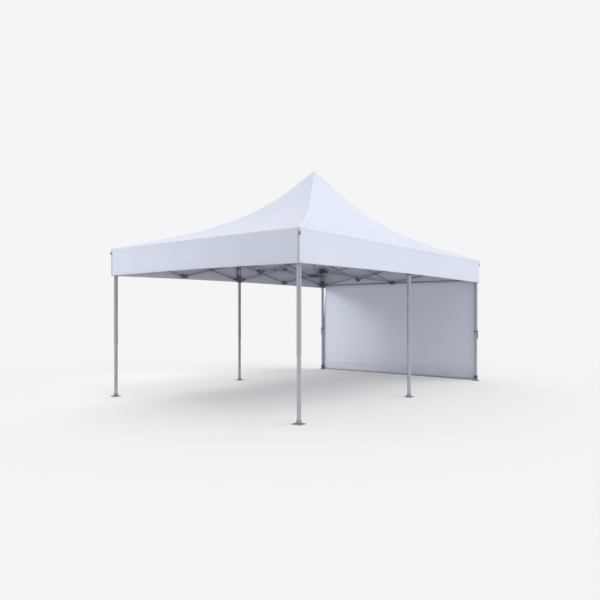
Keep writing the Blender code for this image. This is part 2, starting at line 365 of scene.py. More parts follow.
    def let_through(self, colour: Colour, share: float) -> None:
        """Let a share of the light that falls on the far side glow through.

        Args:
            colour: the tint of what comes through.
            share: the share.
        """
        veil = self.node("BsdfTranslucent", {"Color": (*colour, 1.0)}).outputs["BSDF"]
        mixed = self.node("MixShader", {"Fac": share, 1: self.shader.outputs["BSDF"], 2: veil})
        self.give(self.nodes["Material Output"].inputs["Surface"], mixed.outputs["Shader"])


def tinted(colour: Colour, share: float) -> Colour:
    """A colour made lighter or darker by a share."""
    return tuple(min(1.0, channel * share) for channel in colour)


@dataclass(frozen=True)
class Finish:
    """A finish: its name, the record's slot that it is for, and its main colour."""

    name: str
    slot: Slot | None
    colour: Colour

    @functools.cache
    def material(self) -> Material:
        """The finish as a material, made once.

        Returns:
            The material.
        """
        material = bpy.data.materials.new(self.name)
        self.dress(Tree(material))
        return material

    def dress(self, tree: Tree) -> None:
        """Set up the material's nodes, as each kind of finish does in its own way."""
        raise NotImplementedError


@dataclass(frozen=True)
class ClothFinish(Finish):
    """Coated polyester: a fine plain weave under a dull coat, softly mottled."""

    roughness: float = 0.62
    gloss: float = 0.28
    thread: float = 0.0018
    mottle: float = 0.022
    cloud_scale: float = 1.7
    fibre_scale: float = 38.0
    relief: float = 0.00025
    sheen: float = 0.12
    sheen_roughness: float = 0.5
    glow: float = 0.0
    glow_tint: float = 1.2
    # Painted shade: how much darker the colour is painted at the ground, and how high that reaches
    painted_ground_shade: float = 0.0
    painted_ground_shade_reach: float = 0.25

    def dress(self, tree: Tree) -> None:
        """Set up the mottled colour, the weave and, where the finish has them, the painted shade near the
        ground and the glow.

        Args:
            tree: the material's nodes.
        """
        cloth, solid = tree.place("UV"), tree.place("Object")
        fibre = tree.noise(solid, self.fibre_scale, 2.0)
        mottled = tree.mix(tree.noise(solid, self.cloud_scale, 4.0), fibre, 0.2)
        colour = tree.tones(mottled, self.colour, 1 - self.mottle, 1 + self.mottle)
        # Painted shade: the colour is darkened towards the ground
        if self.painted_ground_shade > 0.0:
            colour = tree.painted_ground_shade(colour, self.painted_ground_shade, self.painted_ground_shade_reach)
        tree.set({"Base Color": colour, "Roughness": self.roughness, "Specular IOR Level": self.gloss,
                  "Sheen Weight": self.sheen, "Sheen Roughness": self.sheen_roughness})
        weave = tree.math("MULTIPLY", tree.ribs(cloth, self.thread, "X"), tree.ribs(cloth, self.thread, "Y"))
        tree.bump(tree.math("ADD", weave, tree.math("MULTIPLY", fibre, 1.5)), self.relief, 0.5)
        if self.glow > 0.0:
            tree.let_through(tinted(self.colour, self.glow_tint), self.glow)


@dataclass(frozen=True)
class MetalFinish(Finish):
    """Anodised or galvanised metal, drawn along the object's Z, with a soft grain."""

    metallic: float = 0.75
    roughness: float = 0.42
    grain: float = 0.05
    drawn_scale: float = 260.0
    patch_scale: float = 7.0
    relief: float = 0.00008

    def dress(self, tree: Tree) -> None:
        """Set up the grained colour and gloss, and the fine lines of drawing.

        Args:
            tree: the material's nodes.
        """
        drawn = tree.noise(tree.place("Object", (1.0, 1.0, 0.04)), self.drawn_scale, 2.0)
        mixed = tree.mix(drawn, tree.noise(tree.place("Object"), self.patch_scale, 4.0), 0.5)
        tree.set({"Metallic": self.metallic, "Roughness": tree.span(mixed, self.roughness, 0.09),
                  "Base Color": tree.tones(mixed, self.colour, 1 - self.grain, 1 + self.grain)})
        tree.bump(drawn, self.relief, 0.4)


@dataclass(frozen=True)
class MouldedFinish(Finish):
    """Moulded nylon or rubber: an eroded skin with faint flow marks."""

    roughness: float = 0.5
    flow_scale: float = 14.0
    pit_scale: float = 900.0
    relief: float = 0.00015

    def dress(self, tree: Tree) -> None:
        """Set up the flow marks and the fine pits.

        Args:
            tree: the material's nodes.
        """
        solid = tree.place("Object")
        flow = tree.noise(solid, self.flow_scale, 3.0)
        tree.set({"Base Color": tree.tones(flow, self.colour, 0.86, 1.18),
                  "Roughness": tree.span(flow, self.roughness, 0.08)})
        tree.bump(tree.noise(solid, self.pit_scale, 2.0), self.relief, 0.5)


@dataclass(frozen=True)
class WebbingFinish(Finish):
    """Woven polyester tape, ribbed across its length."""

    rib: float = 0.0022
    fuzz_scale: float = 420.0
    relief: float = 0.0004

    def dress(self, tree: Tree) -> None:
        """Set up the ribs and the fuzz between them.

        Args:
            tree: the material's nodes.
        """
        fuzz = tree.noise(tree.place("Object"), self.fuzz_scale, 2.0)
        mixed = tree.mix(tree.ribs(tree.place("UV"), self.rib, "X"), fuzz, 0.4)
        tree.set({"Base Color": tree.tones(mixed, self.colour, 0.72, 1.22, 0.1, 0.9),
                  "Roughness": 0.78, "Sheen Weight": 0.2, "Specular IOR Level": 0.2})
        tree.bump(mixed, self.relief, 0.6)


@dataclass(frozen=True)
class FloorFinish(Finish):
    """A plain matt surface lit from beneath: the studio floor, and the glowing painted reflection screen."""

    glow: float = 0.0

    def dress(self, tree: Tree) -> None:
        """Set the matt colour and the even glow."""
        tree.set({"Base Color": (*self.colour, 1.0), "Roughness": 1.0, "Specular IOR Level": 0.0,
                  "Emission Color": (1.0, 1.0, 1.0, 1.0), "Emission Strength": self.glow})


CANOPY_OUTSIDE = ClothFinish("canopy_cloth_outside", Slot.CANOPY, (0.590, 0.622, 0.727))
CANOPY_INSIDE = ClothFinish("canopy_cloth_inside", Slot.CANOPY, (0.545, 0.56, 0.63),
                            roughness=0.7, sheen=0.05)
SEWING_THREAD = WebbingFinish("sewing_thread", Slot.CANOPY, (0.76, 0.79, 0.87), rib=0.0008)
PATCH_CLOTH = ClothFinish("patch_cloth", Slot.CANOPY, (0.42, 0.435, 0.50), roughness=0.55, mottle=0.04)
SEAM_TAPE = ClothFinish("seam_tape", Slot.CANOPY, (0.675, 0.705, 0.795), roughness=0.55)
LAPPED_CLOTH = ClothFinish("lapped_cloth", Slot.CANOPY, (0.44, 0.46, 0.52), mottle=0.05)
# Both wall faces carry painted shade, darker towards the ground
WALL_OUTSIDE = ClothFinish("wall_cloth_outside", Slot.WALL, (0.590, 0.622, 0.727), glow=0.35, painted_ground_shade=0.06)
WALL_INSIDE = ClothFinish("wall_cloth_inside", Slot.WALL, (0.685, 0.705, 0.755),
                          sheen=0.08, glow=0.35, painted_ground_shade=0.14)
WALL_HEM = ClothFinish("wall_hem", Slot.WALL, (0.58, 0.605, 0.69))
HEM_DARK = WebbingFinish("grey_hem_tape", Slot.WALL, (0.265, 0.27, 0.31))
ANODISED = MetalFinish("anodised_aluminium", Slot.METAL, (0.47, 0.49, 0.55), metallic=0.88, roughness=0.36)
BAR_METAL = MetalFinish("truss_bar_aluminium", Slot.METAL, (0.38, 0.395, 0.45))
GALVANISED = MetalFinish("galvanised_steel", Slot.METAL, (0.37, 0.385, 0.435), roughness=0.45, grain=0.12)
BOLT_STEEL = MetalFinish("bolt_steel", Slot.METAL, (0.50, 0.50, 0.52), metallic=1.0, roughness=0.30)
SLATE_NYLON = MouldedFinish("slate_nylon", Slot.MOULDED, (0.110, 0.116, 0.134))
GREY_NYLON = MouldedFinish("grey_nylon", Slot.MOULDED, (0.26, 0.27, 0.30), roughness=0.45)
DARK_WEBBING = WebbingFinish("dark_webbing", Slot.MOULDED, (0.115, 0.121, 0.142))
SLATE_WEBBING = WebbingFinish("slate_webbing", Slot.MOULDED, (0.19, 0.195, 0.22))


def round_edges(bm: BMesh, edges: Iterable[BMEdge], width: float, segments: int = 2) -> None:
    """Round a mesh's edges.

    Args:
        bm: the mesh.
        edges: the edges to round.
        width: the bevel's width.
        segments: its steps.
    """
    bmesh.ops.bevel(bm, geom=list(edges), offset=width, offset_type="OFFSET", segments=segments,
                    profile=0.5, affect="EDGES", material=-1, clamp_overlap=True)


def round_rims(bm: BMesh, width: float, segments: int, above: float = -math.inf) -> BMesh:
    """Round the rims of a tube or a prism.

    Args:
        bm: the tube or prism.
        width: the bevel's width.
        segments: its steps.
        above: the height that the rims have to lie above.

    Returns:
        The same mesh.
    """
    rims = [edge for edge in bm.edges if edge.calc_face_angle(0.0) > math.radians(RIM_ANGLE)
            and all(vert.co.z > above for vert in edge.verts)]
    round_edges(bm, rims, width, segments)
    return bm


def raised(bm: BMesh, height: float) -> BMesh:
    """Pull a flat shape up into a solid.

    Args:
        bm: the flat shape.
        height: the solid's height.

    Returns:
        The same mesh.
    """
    made = bmesh.ops.extrude_face_region(bm, geom=bm.faces)["geom"]
    top = [item for item in made if isinstance(item, BMVert)]
    bmesh.ops.translate(bm, vec=UP * height, verts=top)
    bmesh.ops.recalc_face_normals(bm, faces=bm.faces)
    return bm


def block(size: Sequence[float], rounding: float = 0.0, segments: int = 2) -> BMesh:
    """A box about the origin with rounded edges.

    Args:
        size: its size along X, Y and Z.
        rounding: the width of its rounded edges.
        segments: their steps.

    Returns:
        The box.
    """
    bm = bmesh.new()
    bmesh.ops.create_cube(bm, size=1.0)
    bmesh.ops.scale(bm, vec=size, verts=bm.verts)
    if rounding > 0.0:
        round_edges(bm, bm.edges, rounding, segments)
    return bm


def ribbed_block(size: Sequence[float], border: float, depth: float, rounding: float) -> BMesh:
    """A box whose two faces across Y are sunk inside a border, as moulded parts are.

    Args:
        size: its size along X, Y and Z.
        border: the width left round the sunk faces.
        depth: how far they are sunk.
        rounding: the width of its rounded edges.

    Returns:
        The box.
    """
    bm = block(size)
    cheeks = [face for face in bm.faces if abs(face.normal.y) > 0.9]
    outer = list(bm.edges)
    bmesh.ops.inset_individual(bm, faces=cheeks, thickness=border, depth=-depth)
    round_edges(bm, [edge for edge in outer if edge.is_valid], rounding)
    return bm


def turned(profile: Sequence[tuple[float, float]], sides: int, closed: bool = False) -> BMesh:
    """A solid turned about Z.

    Args:
        profile: radius and height of each point, from the axis back to it, or a ring's section.
        sides: the steps of the turn.
        closed: whether the last point joins the first, as in a ring.

    Returns:
        The solid.
    """
    bm = bmesh.new()
    points = [bm.verts.new((radius, 0.0, height)) for radius, height in profile]
    pairs = list(zip(points, points[1:]))
    if closed:
        pairs.append((points[-1], points[0]))
    edges = [bm.edges.new(pair) for pair in pairs]
    bmesh.ops.spin(bm, geom=points + edges, cent=(0, 0, 0), axis=(0, 0, 1), dvec=(0, 0, 0),
                   angle=math.tau, steps=sides, use_merge=True)
    bmesh.ops.remove_doubles(bm, verts=bm.verts, dist=1e-6)
    bmesh.ops.recalc_face_normals(bm, faces=bm.faces)
    return bm


def bolt(radius: float, reach: float) -> BMesh:
    """A hexagon head on its washer, standing on the origin along Z.

    Args:
        radius: the head's radius.
        reach: how far the head stands out.

    Returns:
        The bolt's end.
    """
    washer = reach * 0.25
    together = Gathering(turned([(0.0, 0.0), (radius * 1.45, 0.0), (radius * 1.45, washer * 0.8),
                                 (radius * 1.3, washer), (0.0, washer)], MIDDLE_STEPS))
    head = bmesh.new()
    height = reach - washer
    bmesh.ops.create_cone(head, cap_ends=True, segments=6, radius1=radius, radius2=radius, depth=height)
    bmesh.ops.translate(head, vec=UP * (washer + height / 2), verts=head.verts)
    together.add(round_rims(head, radius * 0.14, 1, above=reach - NEAR))
    return together.bm


class Gathering:
    """Solids that are laid together into one piece."""

    def __init__(self, first: BMesh | None = None) -> None:
        """Start with one solid, or with none."""
        self.bm = first if first is not None else bmesh.new()

    def add(self, solid: BMesh, place: Matrix | None = None) -> None:
        """Put a solid in its place.

        Args:
            solid: the solid, which is used up.
            place: where it goes.
        """
        if place is not None:
            bmesh.ops.transform(solid, matrix=place, space=Matrix.Identity(4), verts=solid.verts)
        mesh = bpy.data.meshes.new("solid")
        solid.to_mesh(mesh)
        solid.free()
        self.bm.from_mesh(mesh)
        bpy.data.meshes.remove(mesh)


def standing(place: Sequence[float], turn: float = 0.0) -> Matrix:
    """A place, turned about the upright by an angle in radians."""
    return Matrix.Translation(Vector(place)) @ Matrix.Rotation(turn, 4, "Z")


def pointing(place: Sequence[float], direction: Sequence[float]) -> Matrix:
    """A place whose Z axis points in a direction."""
    turn = Vector(direction).to_track_quat("Z", "Y").to_matrix().to_4x4()
    return Matrix.Translation(Vector(place)) @ turn


def left_of(way: Vector) -> Vector:
    """The plan direction a quarter turn to the left of another."""
    return Vector((-way.y, way.x, 0.0))


def facing(turn: float) -> Vector:
    """The plan direction at an angle from the tent's length, in radians."""
    return Vector((math.cos(turn), math.sin(turn), 0.0))


def on_borders(x: float, y: float) -> tuple[bool, bool]:
    """Whether a plan point lies in a short side's border, and whether it lies in a long side's."""
    return abs(x) > HALF_LENGTH - NEAR, abs(y) > HALF_WIDTH - NEAR


def pivot_bolts(together: Gathering, middle: Vector, across: Vector) -> None:
    """Add both heads of the bolt that crosses a fork.

    Args:
        together: the solids that take them.
        middle: the pivot's place.
        across: the bolt's direction.
    """
    for side in (-1, 1):
        together.add(bolt(*PIVOT_HEAD), pointing(middle + across * side * FORK_HALF, across * side))


def placed(name: str, bm: BMesh, finish: Finish) -> Object:
    """Turn a mesh into an object of the scene.

    Args:
        name: the object's name.
        bm: its mesh, which is used up.
        finish: its finish.

    Returns:
        The object.
    """
    mesh = bpy.data.meshes.new(name)
    bm.to_mesh(mesh)
    bm.free()
    mesh.materials.append(finish.material())
    obj = bpy.data.objects.new(name, mesh)
    bpy.context.scene.collection.objects.link(obj)
    return obj


def piece(name: str, bm: BMesh, finish: Finish, body: str = "frame",
          smooth: float = MOULDING_SMOOTH) -> Object:
    """Turn a mesh into a finished piece that rides on a body.

    Args:
        name: the piece's name.
        bm: its mesh, which is used up.
        finish: its finish.
        body: the body that it moves with.
        smooth: the angle, in degrees, up to which edges are shaded smooth.

    Returns:
        The piece.
    """
    obj = placed(name, bm, finish)
    obj.data.shade_smooth()
    obj.data.set_sharp_from_angle(angle=math.radians(smooth))
    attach(obj, body)
    return obj


def cloth_piece(name: str, bm: BMesh, finish: Finish, thickness: float = TAPE_THICKNESS,
                lining: Finish | None = None) -> Object:
    """Turn an open sheet into a piece of cloth, tape or thread, thick inwards from its outer face.

    Args:
        name: the piece's name.
        bm: the sheet, which is used up.
        finish: its finish.
        thickness: how thick it is.
        lining: the finish of its inner face.

    Returns:
        The piece.
    """
    cloth = piece(name, bm, finish, smooth=CLOTH_SMOOTH)
    wall = cloth.modifiers.new("thickness", "SOLIDIFY")
    wall.thickness = thickness
    wall.offset = -1.0
    if lining is not None:
        cloth.data.materials.append(lining.material())
        wall.material_offset = 1
    return cloth


def mapped_grid(place: Surface, steps: tuple[int, int], flat: tuple[float, float], outward: Vector) -> BMesh:
    """A strip or patch laid on a surface, with a UV map in metres.

    Args:
        place: the surface's point for a share along and a share across.
        steps: the steps along and across.
        flat: the patch's length and width, in metres.
        outward: the way that it faces.

    Returns:
        The patch.
    """
    bm = bmesh.new()
    layer = bm.loops.layers.uv.new("cloth")
    bmesh.ops.create_grid(bm, x_segments=steps[0], y_segments=steps[1], size=0.5)
    for face in bm.faces:
        for loop in face.loops:
            loop[layer].uv = ((loop.vert.co.x + 0.5) * flat[0], (loop.vert.co.y + 0.5) * flat[1])
    for vert in bm.verts:
        vert.co = place(vert.co.x + 0.5, vert.co.y + 0.5)
    face_out(bm, outward)
    return bm


def stitch_row(place: Surface, length: float, outward: Vector) -> BMesh:
    """A row of short stitches laid on a surface.

    Args:
        place: the surface's point for a share along and a share across.
        length: the row's length.
        outward: the way that it faces.

    Returns:
        The stitches.
    """
    cells = 2 * round(length / STITCH_PITCH) + 1
    bm = mapped_grid(place, (cells, 1), (length, STITCH_WIDTH), outward)
    layer = bm.loops.layers.uv["cloth"]
    gaps = [face for face in bm.faces
            if int(sum(loop[layer].uv.x for loop in face.loops) / len(face.loops) / length * cells) % 2]
    bmesh.ops.delete(bm, geom=gaps, context="FACES")
    return bm


def face_out(bm: BMesh, outward: Vector) -> None:
    """Turn an open sheet's faces to its outer side.

    Args:
        bm: the sheet.
        outward: the way that most of it faces.
    """
    bm.normal_update()
    if sum(face.normal.dot(outward) * face.calc_area() for face in bm.faces) < 0:
        bmesh.ops.reverse_faces(bm, faces=bm.faces)


def rounded_copy(node: str, width: float, segments: int = 2) -> BMesh:
    """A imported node's own shape, with its edges rounded.

    Args:
        node: the node.
        width: the width of its rounded edges.
        segments: their steps.

    Returns:
        The shape.
    """
    bm = bmesh.new()
    bm.from_mesh(frame["nodes"][node].data)
    bmesh.ops.remove_doubles(bm, verts=bm.verts, dist=1e-5)
    bmesh.ops.dissolve_limit(bm, angle_limit=math.radians(1.0), use_dissolve_boundaries=False,
                             verts=bm.verts, edges=bm.edges, delimit=set())
    corners = [edge for edge in bm.edges if edge.calc_face_angle(0.0) > math.radians(30)]
    round_edges(bm, corners, width, segments)
    return bm


@dataclass(frozen=True)
class TubeSection:
    """The eight-sided section of a drawn leg tube, with a groove down each flat."""

    width: float
    wall: float
    chamfer: float = 0.0025
    groove_width: float = 0.0
    groove_depth: float = 0.0

    def outline(self, bm: BMesh, inset: float) -> None:
        """Draw the section's outer or inner line.

        Args:
            bm: the mesh that takes it.
            inset: how far inside the outer face it lies, and past 0 it has no groove.
        """
        flat = self.width / 2 - inset
        half = flat * math.tan(math.pi / LEG_SIDES)
        corner = half - self.chamfer
        lip = self.groove_width / 2 + self.groove_depth * 0.6
        depth = self.groove_depth if inset == 0.0 else 0.0
        steps = ((-corner, 0.0), (corner, 0.0))
        if depth > 0.0:
            half_groove = self.groove_width / 2
            steps = ((-corner, 0.0), (-lip, 0.0), (-half_groove, depth), (half_groove, depth),
                     (lip, 0.0), (corner, 0.0))
        count = LEG_SIDES * len(steps)
        ring = bmesh.ops.create_circle(bm, cap_ends=False, segments=count, radius=1.0)["verts"]
        for index, vert in enumerate(ring):
            side, step = divmod(index, len(steps))
            across, sunk = steps[step]
            out = facing(side * math.tau / LEG_SIDES)
            vert.co = out * (flat - sunk) + left_of(out) * across

    def tube(self, low: float, high: float) -> BMesh:
        """The open tube between two heights.

        Args:
            low: its lower end.
            high: its upper end.

        Returns:
            The tube.
        """
        bm = bmesh.new()
        self.outline(bm, 0.0)
        self.outline(bm, self.wall)
        bmesh.ops.bridge_loops(bm, edges=bm.edges)
        raised(bm, high - low)
        bmesh.ops.translate(bm, vec=UP * low, verts=bm.verts)
        return bm


def leg_axis(leg: str) -> Vector:
    """The foot of a leg's axis."""
    low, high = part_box(f"upper_leg_{leg}")
    return Vector(((low.x + high.x) / 2, (low.y + high.y) / 2, 0.0))


def upper_width(leg: str) -> float:
    """The upper tube's width across its flats."""
    low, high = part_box(f"upper_leg_{leg}")
    return high.x - low.x


def lower_width(leg: str) -> float:
    """The lower tube's width across its flats."""
    return upper_width(leg) - 2 * (TUBE_WALL + TUBE_RUNNING_GAP)


@dataclass
class Cover:
    """The canopy cloth: four concave faces that run into the hanging borders, as one sewn sheet."""

    rows: int = 116
    crowding: float = 1.25
    straight_share: float = 0.50
    curve_power: float = 3.5
    tip_rounding: float = 0.02
    face_sag: float = 0.04
    fan_height: float = 0.0022
    fan_reach: float = 0.6
    pleat_height: float = 0.0016
    pleat_reach: float = 0.5
    wave_height: float = 0.0026
    thickness: float = 0.0016
    edge_rounding: float = 0.006
    drops: tuple[float, ...] = (0.012, 0.03, 0.06, 0.10, 0.15, 0.20, 0.25, 0.30, 0.34, 0.38, 0.415, 0.45)
    arch: float = 0.022
    end_arch_share: float = 0.6
    fold: float = 0.0028
    tape_width: float = 0.045
    tape_share: float = 0.78
    tape_run: tuple[float, float] = (0.035, 0.9985)
    stitch_run: tuple[float, float] = (0.04, 0.985)
    hip_length: float = 3.97
    border_margin: float = 0.012
    patch_size: float = 0.24
    patch_inset: float = 0.02
    patch_gap: float = 0.0003
    peak_patch_share: float = 0.13
    strap_low: float = 2.288
    strap_gap: float = 0.003
    tab_drop: float = 0.078
    tab_fold: Size = (0.014, 0.0042, 0.046)
    tab_flat: Size = (0.0022, 0.014, 0.050)
    hem_width: float = 0.032
    lap_width: float = 0.030
    fastener_drop: float = 0.385
    fastener_width: float = 0.03
    replaced: tuple[str, ...] = tuple(
        f"{part}_{side}" for part in ("roof_panel", "valance") for side in ("front", "back", "left", "right")
    )

    def height(self, x: float, y: float) -> float:
        """Height of the cloth's outer face over a point of the plan.

        Args:
            x: the place along the length.
            y: the place across the width.

        Returns:
            The height, without wrinkles.
        """
        along = abs(x) / HALF_LENGTH
        across = abs(y) / HALF_WIDTH
        out = max(along, across)
        rounded = math.hypot(out, self.tip_rounding) - self.tip_rounding
        rounded /= math.hypot(1.0, self.tip_rounding) - self.tip_rounding
        slope = self.straight_share * (1 - rounded)
        curve = (1 - self.straight_share) * max(0.0, 1 - rounded) ** self.curve_power
        off_hip = 1 - (min(along, across) / out) ** 2 if out > 0 else 0.0
        sag = self.face_sag * math.sin(math.pi * min(out, 1.0)) * off_hip
        return EAVE_Z + (PEAK_Z - EAVE_Z) * (slope + curve) - sag

    def relief(self, x: float, y: float) -> float:
        """The wrinkles: folds that fan out from the corners and the peak, and slow waves.

        Args:
            x: the place along the length.
            y: the place across the width.

        Returns:
            How far the cloth stands off its plain form.
        """
        out = max(abs(x) / HALF_LENGTH, abs(y) / HALF_WIDTH)
        from_x = HALF_LENGTH - abs(x)
        from_y = HALF_WIDTH - abs(y)
        reach = math.hypot(from_x, from_y)
        turn = math.atan2(from_y, from_x)
        folds = math.sin(turn * 17 + noise.noise((x, y, 0.0)) * 2)
        fan = folds * math.exp(-reach / self.fan_reach) * min(reach / 0.15, 1.0)
        near = math.exp(-math.hypot(x, y) / self.pleat_reach) * min(out / 0.05, 1.0)
        pleat = math.sin(math.atan2(y, x) * 14) * near
        slow = noise.noise((x * 1.1, y * 1.1, 3.1)) + 0.5 * noise.noise((x * 2.6, y * 2.6, 8.4))
        calm = 1 - out ** 10
        return (self.fan_height * fan + self.pleat_height * pleat + self.wave_height * slow) * calm

    def roof_point(self, x: float, y: float, lift: float = 0.0) -> Vector:
        """A point of the roof's outer face, or a little above it."""
        return Vector((x, y, self.height(x, y) + self.relief(x, y) + lift))

    def hang(self, x: float, y: float, drop: float, lift: float = 0.0) -> Vector:
        """A point of the hanging border below a point of the eave.

        Args:
            x: the eave point's place along the length.
            y: the eave point's place across the width.
            drop: how far down the border it lies.
            lift: how far off the cloth it stands.

        Returns:
            The point.
        """
        short_side, long_side = on_borders(x, y)
        share = drop / VALANCE_DROP
        out = Vector((short_side * math.copysign(1, x), long_side * math.copysign(1, y), 0.0))
        if long_side and short_side:
            return Vector((x, y, EAVE_Z - drop)) + out * lift
        place = (x + HALF_LENGTH) / (2 * HALF_LENGTH) if long_side else (y + HALF_WIDTH) / (2 * HALF_WIDTH)
        span = HALF_LENGTH if long_side else HALF_WIDTH
        held = math.sin(math.pi * place)
        rise = self.arch * held * (share if long_side else share * self.end_arch_share)
        waves = math.sin(place * span * 6.5 + 1.3) + 0.6 * noise.noise((x * 3, y * 3, drop * 2))
        bulge = self.fold * waves * share * min(held * 6, 1.0)
        return Vector((x, y, EAVE_Z - drop + rise)) + out * (bulge + lift)

    def skin(self) -> BMesh:
        """The outer face, from the peak down to the lower edge of the borders.

        Returns:
            The open sheet, with its UV map.
        """
        bm = bmesh.new()
        bmesh.ops.create_cone(bm, cap_ends=False, segments=4, radius1=math.sqrt(2), radius2=0.0, depth=1.0)
        bmesh.ops.remove_doubles(bm, verts=bm.verts, dist=0.0001)
        bmesh.ops.rotate(bm, cent=(0, 0, 0), matrix=Matrix.Rotation(math.pi / 4, 3, "Z"), verts=bm.verts)
        bmesh.ops.subdivide_edges(bm, edges=bm.edges, cuts=self.rows - 1, use_grid_fill=True)
        for vert in bm.verts:
            out = max(abs(vert.co.x), abs(vert.co.y))
            spread = out ** (self.crowding - 1) if out > 0 else 0.0
            vert.co = self.roof_point(vert.co.x * spread * HALF_LENGTH, vert.co.y * spread * HALF_WIDTH)
        eave = [edge for edge in bm.edges if edge.is_boundary]
        rim = eave
        for drop in self.drops:
            made = bmesh.ops.extrude_edge_only(bm, edges=rim)["geom"]
            for vert in made:
                if isinstance(vert, BMVert):
                    vert.co = self.hang(vert.co.x, vert.co.y, 0.0) - UP * drop
            rim = [edge for edge in made if isinstance(edge, BMEdge) and edge.is_boundary]
        self.sew_corners(bm, eave)
        self.drape_borders(bm)
        face_out(bm, UP)
        self.lay_out(bm)
        return bm

    def sew_corners(self, bm: BMesh, eave: list[BMEdge]) -> None:
        """Round the eave and the borders' upright corners.

        Args:
            bm: the sheet.
            eave: the eave's edges.
        """
        upright = [edge for edge in bm.edges if all(all(on_borders(*vert.co.xy)) for vert in edge.verts)]
        round_edges(bm, eave + upright, self.edge_rounding, 3)

    def drape_borders(self, bm: BMesh) -> None:
        """Give the borders their arched lower edges and their soft folds, between their corners.

        Args:
            bm: the sheet, whose borders hang straight.
        """
        for vert in bm.verts:
            drop = EAVE_Z - vert.co.z
            if drop >= self.edge_rounding * 1.5 and sum(on_borders(*vert.co.xy)) == 1:
                vert.co = self.hang(vert.co.x, vert.co.y, drop)

    def lay_out(self, bm: BMesh) -> None:
        """Give the sheet a UV map in metres, panel by panel.

        Args:
            bm: the sheet.
        """
        layer = bm.loops.layers.uv.new("cloth")
        for face in bm.faces:
            centre = face.calc_center_median()
            upright = centre.z < EAVE_Z - self.edge_rounding / 2
            front = abs(centre.y) / HALF_WIDTH >= abs(centre.x) / HALF_LENGTH
            for loop in face.loops:
                point = loop.vert.co
                along, across = (point.x, point.y) if front else (point.y, point.x)
                down = point.z if upright else math.hypot(across, PEAK_Z - point.z)
                loop[layer].uv = (along, down)

    def hip_tape(self, corner: Corner) -> BMesh:
        """A sewn tape that covers a hip from the peak to the eave.

        Args:
            corner: the hip's corner.

        Returns:
            The tape.
        """
        start, end = self.tape_run
        sign_x, sign_y = corner.value

        def place(u: float, v: float) -> Vector:
            """A point of the tape, which narrows where it meets the corner.

            Args:
                u: the share along.
                v: the share across.

            Returns:
                The point.
            """
            out = start + (end - start) * u
            shift = (v - self.tape_share) * self.tape_width
            shift *= min(1.0, (1.0 - out) * 60 + 0.1)
            hip = Vector((sign_x * HALF_LENGTH * out, sign_y * HALF_WIDTH * out, 0.0))
            point = hip + corner.aside * shift
            return self.roof_point(point.x, point.y, TAPE_HEIGHT)

        return mapped_grid(place, (90, 6), (self.hip_length, self.tape_width), UP)

    def hip_stitches(self, corner: Corner) -> BMesh:
        """The two rows of stitches along a hip's tape.

        Args:
            corner: the hip's corner.

        Returns:
            The stitches.
        """
        start, end = self.stitch_run
        together = Gathering()
        for row in (STITCH_INSET - self.tape_share * self.tape_width,
                    (1 - self.tape_share) * self.tape_width - STITCH_INSET):

            def place(u: float, v: float) -> Vector:
                """A point of the row.

                Args:
                    u: the share along.
                    v: the share across.

                Returns:
                    The point.
                """
                shift = row + (v - 0.5) * STITCH_WIDTH
                point = corner.hip * (start + (end - start) * u) + corner.aside * shift
                return self.roof_point(point.x, point.y, THREAD_LIFT)

            together.add(stitch_row(place, self.hip_length, UP))
        return together.bm

    def border_strip(self, out: Vector, inset: float, low: float, high: float, lift: float) -> Surface:
        """A strip along one border, as a surface.

        Args:
            out: the way that the border faces.
            inset: how far inside the corners the strip ends.
            low: the drop of its lower edge.
            high: the drop of its upper edge.
            lift: how far off the cloth it stands.

        Returns:
            The surface.
        """
        reach = self.border_length(out) / 2 - inset

        def place(u: float, v: float) -> Vector:
            """A point of the strip.

            Args:
                u: the share along.
                v: the share across.

            Returns:
                The point.
            """
            at = -reach + 2 * reach * u
            x, y = (at, out.y * HALF_WIDTH) if out.y else (out.x * HALF_LENGTH, at)
            return self.hang(x, y, high + (low - high) * v, lift)

        return place

    def border_length(self, out: Vector) -> float:
        """How long the border is that faces a way."""
        return 2 * HALF_LENGTH if out.y else 2 * HALF_WIDTH

    def border_band(self, low: float, high: float) -> BMesh:
        """A band sewn round all four borders.

        Args:
            low: the drop of its lower edge.
            high: the drop of its upper edge.

        Returns:
            The band.
        """
        together = Gathering()
        for out in reversed(SIDES):
            strip = self.border_strip(out, self.edge_rounding, low, high, TAPE_LIFT)
            steps = (60 if out.y else 44, 2)
            together.add(mapped_grid(strip, steps, (self.border_length(out), low - high), out))
        return together.bm

    def border_stitches(self, *drops: float) -> BMesh:
        """Rows of stitches round all four borders.

        Args:
            drops: how far each row lies below the eave.

        Returns:
            The stitches.
        """
        half = STITCH_WIDTH / 2
        together = Gathering()
        for drop in drops:
            for out in reversed(SIDES):
                strip = self.border_strip(out, self.border_margin, drop + half, drop - half, THREAD_LIFT)
                together.add(stitch_row(strip, self.border_length(out), out))
        return together.bm

    def lap_point(self, corner: Corner, inward: float, drop: float, lift: float) -> Vector:
        """A point of the short side's border, near a corner.

        Args:
            corner: the corner.
            inward: how far it lies from the corner's rounding.
            drop: how far below the eave it lies.
            lift: how far off the cloth it stands.

        Returns:
            The point.
        """
        sign_x, sign_y = corner.value
        y = sign_y * (HALF_WIDTH - self.edge_rounding - inward)
        return self.hang(sign_x * HALF_LENGTH, y, drop, lift)

    def corner_lap(self, corner: Corner) -> BMesh:
        """The lapped seam down a border's corner, on its short side.

        Args:
            corner: the corner.

        Returns:
            The lap.
        """
        def place(u: float, v: float) -> Vector:
            """A point of the lap."""
            return self.lap_point(corner, v * self.lap_width, 0.012 + u * (VALANCE_DROP - 0.014), TAPE_LIFT)

        return mapped_grid(place, (12, 3), (VALANCE_DROP, self.lap_width), RIGHT * corner.value[0])

    def lap_stitches(self, corner: Corner) -> BMesh:
        """The two rows of stitches down a border's lapped corner.

        Args:
            corner: the corner.

        Returns:
            The stitches.
        """
        together = Gathering()
        for row in (STITCH_INSET, self.lap_width - STITCH_INSET):

